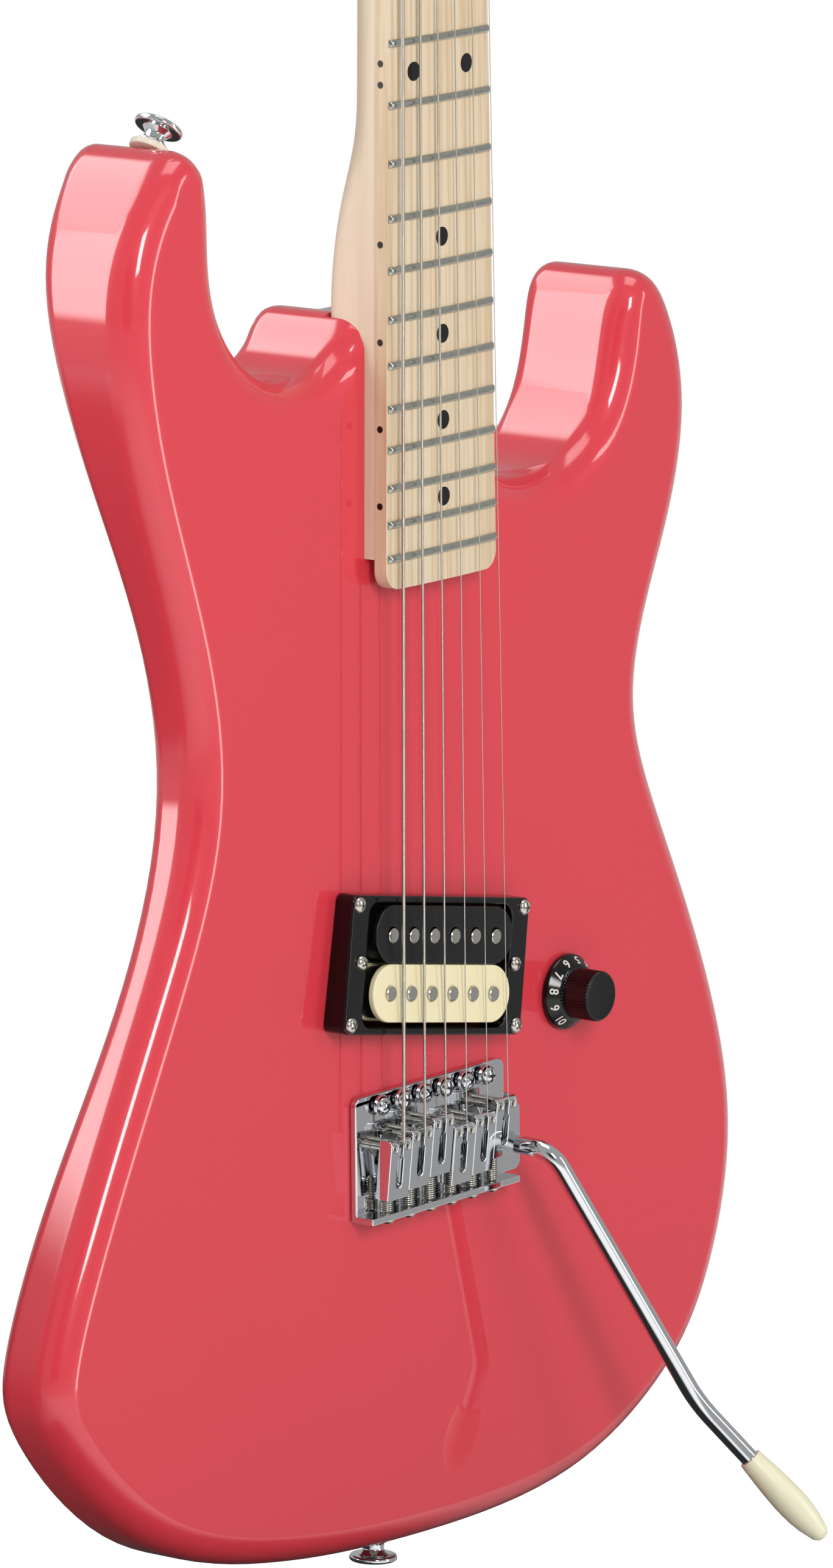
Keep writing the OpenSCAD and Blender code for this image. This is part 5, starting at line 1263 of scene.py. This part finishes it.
def makeKnob():
    kx, kz = bodyShape.knob
    skirt, grip, top = knob.skirt, knob.grip, knob.top
    bore, hollow, gap = knob.bore, knob.hollow, knob.gap
    lip, shoulder = knob.lip, knob.shoulder
    # radius, height and share of the fluting
    profile = [
        (0.2, knob.boreTop, 0), (bore, knob.boreTop, 0), (bore, knob.hollowTop, 0),
        (hollow, knob.hollowTop, 0), (hollow, gap, 0), (skirt - 0.2, gap, 0), (skirt, gap + 0.2, 0),
        (skirt, lip - 0.3, 0), (skirt - 0.1, lip + 0.05, 0), (skirt - 0.32, lip + 0.35, 0),
        (grip + 1.15, shoulder - 0.2, 0), (grip + 0.9, shoulder, 0), (grip + 0.1, shoulder + 0.1, 0),
        (grip, shoulder + 0.45, 1), (grip, top - 1.0, 1), (grip - 0.1, top - 0.6, 0.8),
        (grip - 0.4, top - 0.2, 0.3), (grip - 0.8, top, 0), (grip - 1.3, top - 0.06, 0),
        (grip * 0.5, top - 0.12, 0), (0.2, top - 0.14, 0),
    ]
    steps = knob.flutes * knob.fluteSteps
    points = []
    for radius, height, share in profile:
        for k in range(steps):
            angle = 2 * pi * k / steps
            r = radius - share * knob.fluteDepth * (0.5 - 0.5 * cos(knob.flutes * angle))
            points.append((kx + r * cos(angle), -height, kz + r * sin(angle) - scaleLength))
    body = ringSkin("volumeKnob", points, steps)
    repaint(body, "black")
    stand(smooth(body, angle=40), "knob", ["volume_knob"])

    whole = bmesh.new()
    inner, outer = (grip + 1.15, shoulder - 0.2), (skirt - 0.32, lip + 0.35)
    slope = atan2(inner[1] - outer[1], outer[0] - inner[0])
    height = outer[1] + (outer[0] - knob.numberAt) * tan(slope) + knob.numberLift
    front = Vector((0, -1, 0))
    for number in range(1, 11):
        text = bpy.data.curves.new("dialNumber", "FONT")
        text.body = str(number)
        text.size = knob.numberSize / 1000
        text.align_x = "CENTER"
        text.align_y = "CENTER"
        text.extrude = knob.numberDepth / 1000
        text.offset = knob.numberWeight / 1000
        sign = addObject("dialNumber", text)
        bpy.context.view_layer.update()
        graph = bpy.context.evaluated_depsgraph_get()
        mesh = bpy.data.meshes.new_from_object(sign.evaluated_get(graph))
        angle = radians(knob.firstNumber + knob.numberStep * (number - 1))
        out = Vector((cos(angle), 0, sin(angle)))
        # heads of the figures point up the skirt
        up, normal = front * sin(slope) - out * cos(slope), front * cos(slope) + out * sin(slope)
        turn = Matrix((up.cross(normal), up, normal)).transposed().to_4x4()
        spot = Vector((kx, 0, kz - scaleLength)) + out * knob.numberAt + front * height
        mesh.transform(Matrix.Translation(spot / 1000) @ turn)
        whole.from_mesh(mesh)
        bpy.data.objects.remove(sign)
    mesh = bpy.data.meshes.new("dialNumbers")
    whole.to_mesh(mesh)
    whole.free()
    mesh.materials.append(finishes["numeral"])
    piece = addObject("dialNumbers", mesh)
    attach(piece, "knob")


makeKnob()
print("knob done")

# camera at the photo's place
camera = Sizes(
    azimuth=-51.91, elevation=11.05, roll=-0.46, focal=16824.0, imageHeight=2576.0,
    distance=3.232, target=(-0.0026, 0.0, -0.5421), sensor=36.0, clipEnd=50.0,
)


def makeCamera():
    a, e, r = radians(camera.azimuth), radians(camera.elevation), radians(camera.roll)
    back = Vector((sin(a) * cos(e), -cos(a) * cos(e), sin(e)))
    right = Vector((cos(a), sin(a), 0))
    up = back.cross(right)
    right, up = cos(r) * right + sin(r) * up, -sin(r) * right + cos(r) * up
    data = bpy.data.cameras.new("photoView")
    data.sensor_width = camera.sensor
    data.lens = camera.focal / camera.imageHeight * camera.sensor
    data.clip_end = camera.clipEnd
    eye = addObject("photoView", data)
    eye.matrix_world = Matrix((right, up, back)).transposed().to_4x4()
    eye.location = Vector(camera.target) + back * camera.distance
    scene.camera = eye


makeCamera()

# studio
studio = Sizes(
    floorDrop=0.5, worldLight=0.30, glossShare=0.45, floorColor=(0.93, 0.93, 0.93, 1.0),
    floorGlow=0.72, floorRough=0.9, floorSize=16, rimShare=0.25,
)
lamps = {
    "keyBox": {"place": (-1.2, -2.0, 0.55), "size": (0.55, 1.0), "power": 39, "gloss": 20.3},
    "stripBox": {"place": (1.0, -2.2, -0.35), "size": (0.45, 2.4), "power": 12, "gloss": 7.0},
    "sideBox": {"place": (-1.9, 1.5, 0.45), "size": (0.95, 2.5), "power": 29, "gloss": 8.5},
    "topBox": {"place": (0.2, -0.4, 2.2), "size": (2.0, 1.6), "power": 8, "gloss": 4.0},
}
# matt cards with soft rims: their tone shows in the gloss, and shade cards also hold off soft light
cards = {
    "greyCard": {"place": (1.05, -0.85, -0.8), "aim": (0.0, 0.0, -0.55), "size": (1.5, 1.7), "tone": 0.42},
    "leftCard": {"place": (-0.26, 0.1, -0.68), "aim": (-0.17, 0.02, -0.68), "size": (0.3, 0.26), "tone": 0.04,
                 "shade": True},
    "underCard": {"place": (-0.1, 0.0, -0.87), "aim": (-0.1, 0.0, 0.0), "size": (0.5, 0.35), "tone": 0.03,
                  "shade": True},
    "eyeCard": {"place": (-1.75, -1.35, -0.1), "aim": (0.0, 0.0, -0.55), "size": (1.4, 1.5), "tone": 0.05},
    "backCard": {"place": (-0.75, 1.6, 1.35), "aim": (0.0, 0.0, -0.35), "size": (2.4, 1.6), "tone": 6.0},
    "lowCard": {"place": (-0.25, 0.75, -0.98), "aim": (-0.25, 0.75, 0.0), "size": (2.6, 2.2), "tone": 0.04},
}
lampAim = Vector((0, 0, -0.5))


# full to the eye and through clear things, less in gloss
def seenShare(tree):
    path = addNode(tree, "ShaderNodeLightPath").outputs
    gloss = mathNode(tree, "MULTIPLY", path["Is Glossy Ray"], studio.glossShare)
    straight = mathNode(tree, "MAXIMUM", path["Is Camera Ray"], path["Is Transmission Ray"])
    return mathNode(tree, "MAXIMUM", straight, gloss)


def faceAim(thing, place, aim):
    thing.location = place
    thing.rotation_euler = (Vector(aim) - Vector(place)).to_track_quat("-Z", "Y").to_euler()


# how far a point lies inside a card's rim, from 0 to 1
def makeRim():
    inputs = [("Half Width", "Float", 1.0), ("Half Height", "Float", 1.0), ("Rim", "Float", 0.3)]
    group, ins, outs = newGroup("softRim", inputs, [("Share", "Float")])
    place = addNode(group, "ShaderNodeSeparateXYZ", {0: objectPlace(group)}).outputs
    shares = []
    for axis, half in (("X", "Half Width"), ("Y", "Half Height")):
        inside = mathNode(group, "SUBTRACT", ins[half], mathNode(group, "ABSOLUTE", place[axis]))
        values = {"Value": inside, "From Max": ins["Rim"]}
        ramp = addNode(group, "ShaderNodeMapRange", values, interpolation_type="SMOOTHSTEP")
        shares.append(ramp.outputs["Result"])
    feed(group, outs, {"Share": mathNode(group, "MULTIPLY", *shares)})
    return group


rimGroup = makeRim()


# level rectangle that only the stage uses
def stageFlat(name, width, height, level, material):
    w, h = width / 2, height / 2
    mesh = bpy.data.meshes.new(name)
    mesh.from_pydata([(-w, -h, level), (w, -h, level), (w, h, level), (-w, h, level)], [], [(0, 1, 2, 3)])
    mesh.materials.append(material)
    flat = addObject(name, mesh)
    return flat


def makeStudio():
    world = bpy.data.worlds.new("studioWorld")
    scene.world = world
    world.use_nodes = True
    tree = world.node_tree
    strength = mathNode(tree, "MAXIMUM", seenShare(tree), studio.worldLight)
    feed(tree, tree.nodes["Background"], {"Color": (1, 1, 1, 1), "Strength": strength})

    material, tree, shader = plainMaterial("paleFloor")
    glow = mathNode(tree, "MULTIPLY", seenShare(tree), studio.floorGlow)
    feed(tree, shader, {"Base Color": studio.floorColor, "Roughness": studio.floorRough})
    feed(tree, shader, {"Specular IOR Level": 0.0, "Emission Color": (1, 1, 1, 1), "Emission Strength": glow})
    level = cadBox[0][2] - studio.floorDrop
    stageFlat("studioFloor", studio.floorSize, studio.floorSize, level, material)

    # the gloss shows soft panels in the places of the lamps
    panels = dict(cards)
    for name, lamp in lamps.items():
        data = bpy.data.lights.new(name, "AREA")
        data.shape = "RECTANGLE"
        data.size, data.size_y = lamp["size"]
        data.energy = lamp["power"]
        light = addObject(name, data)
        faceAim(light, lamp["place"], lampAim)
        light.visible_glossy = False
        panel = {"place": lamp["place"], "aim": lampAim, "size": lamp["size"], "tone": lamp["gloss"]}
        panels[name + "Panel"] = panel

    for name, card in panels.items():
        width, height = card["size"]
        material, tree, shader = plainMaterial(name)
        soft = studio.rimShare * min(width, height)
        values = {"Half Width": width / 2, "Half Height": height / 2, "Rim": soft}
        rim = addNode(tree, "ShaderNodeGroup", values, node_tree=rimGroup)
        feed(tree, shader, {"Base Color": (0, 0, 0, 1), "Specular IOR Level": 0.0})
        feed(tree, shader, {"Emission Color": (1, 1, 1, 1), "Emission Strength": card["tone"]})
        feed(tree, shader, {"Alpha": rim.outputs["Share"]})
        flat = stageFlat(name, width, height, 0, material)
        faceAim(flat, card["place"], card["aim"])
        flat.visible_camera = False
        flat.visible_diffuse = card.get("shade", False)
        flat.visible_shadow = False
    scene.view_settings.view_transform = "Standard"


makeStudio()
print("studio done")
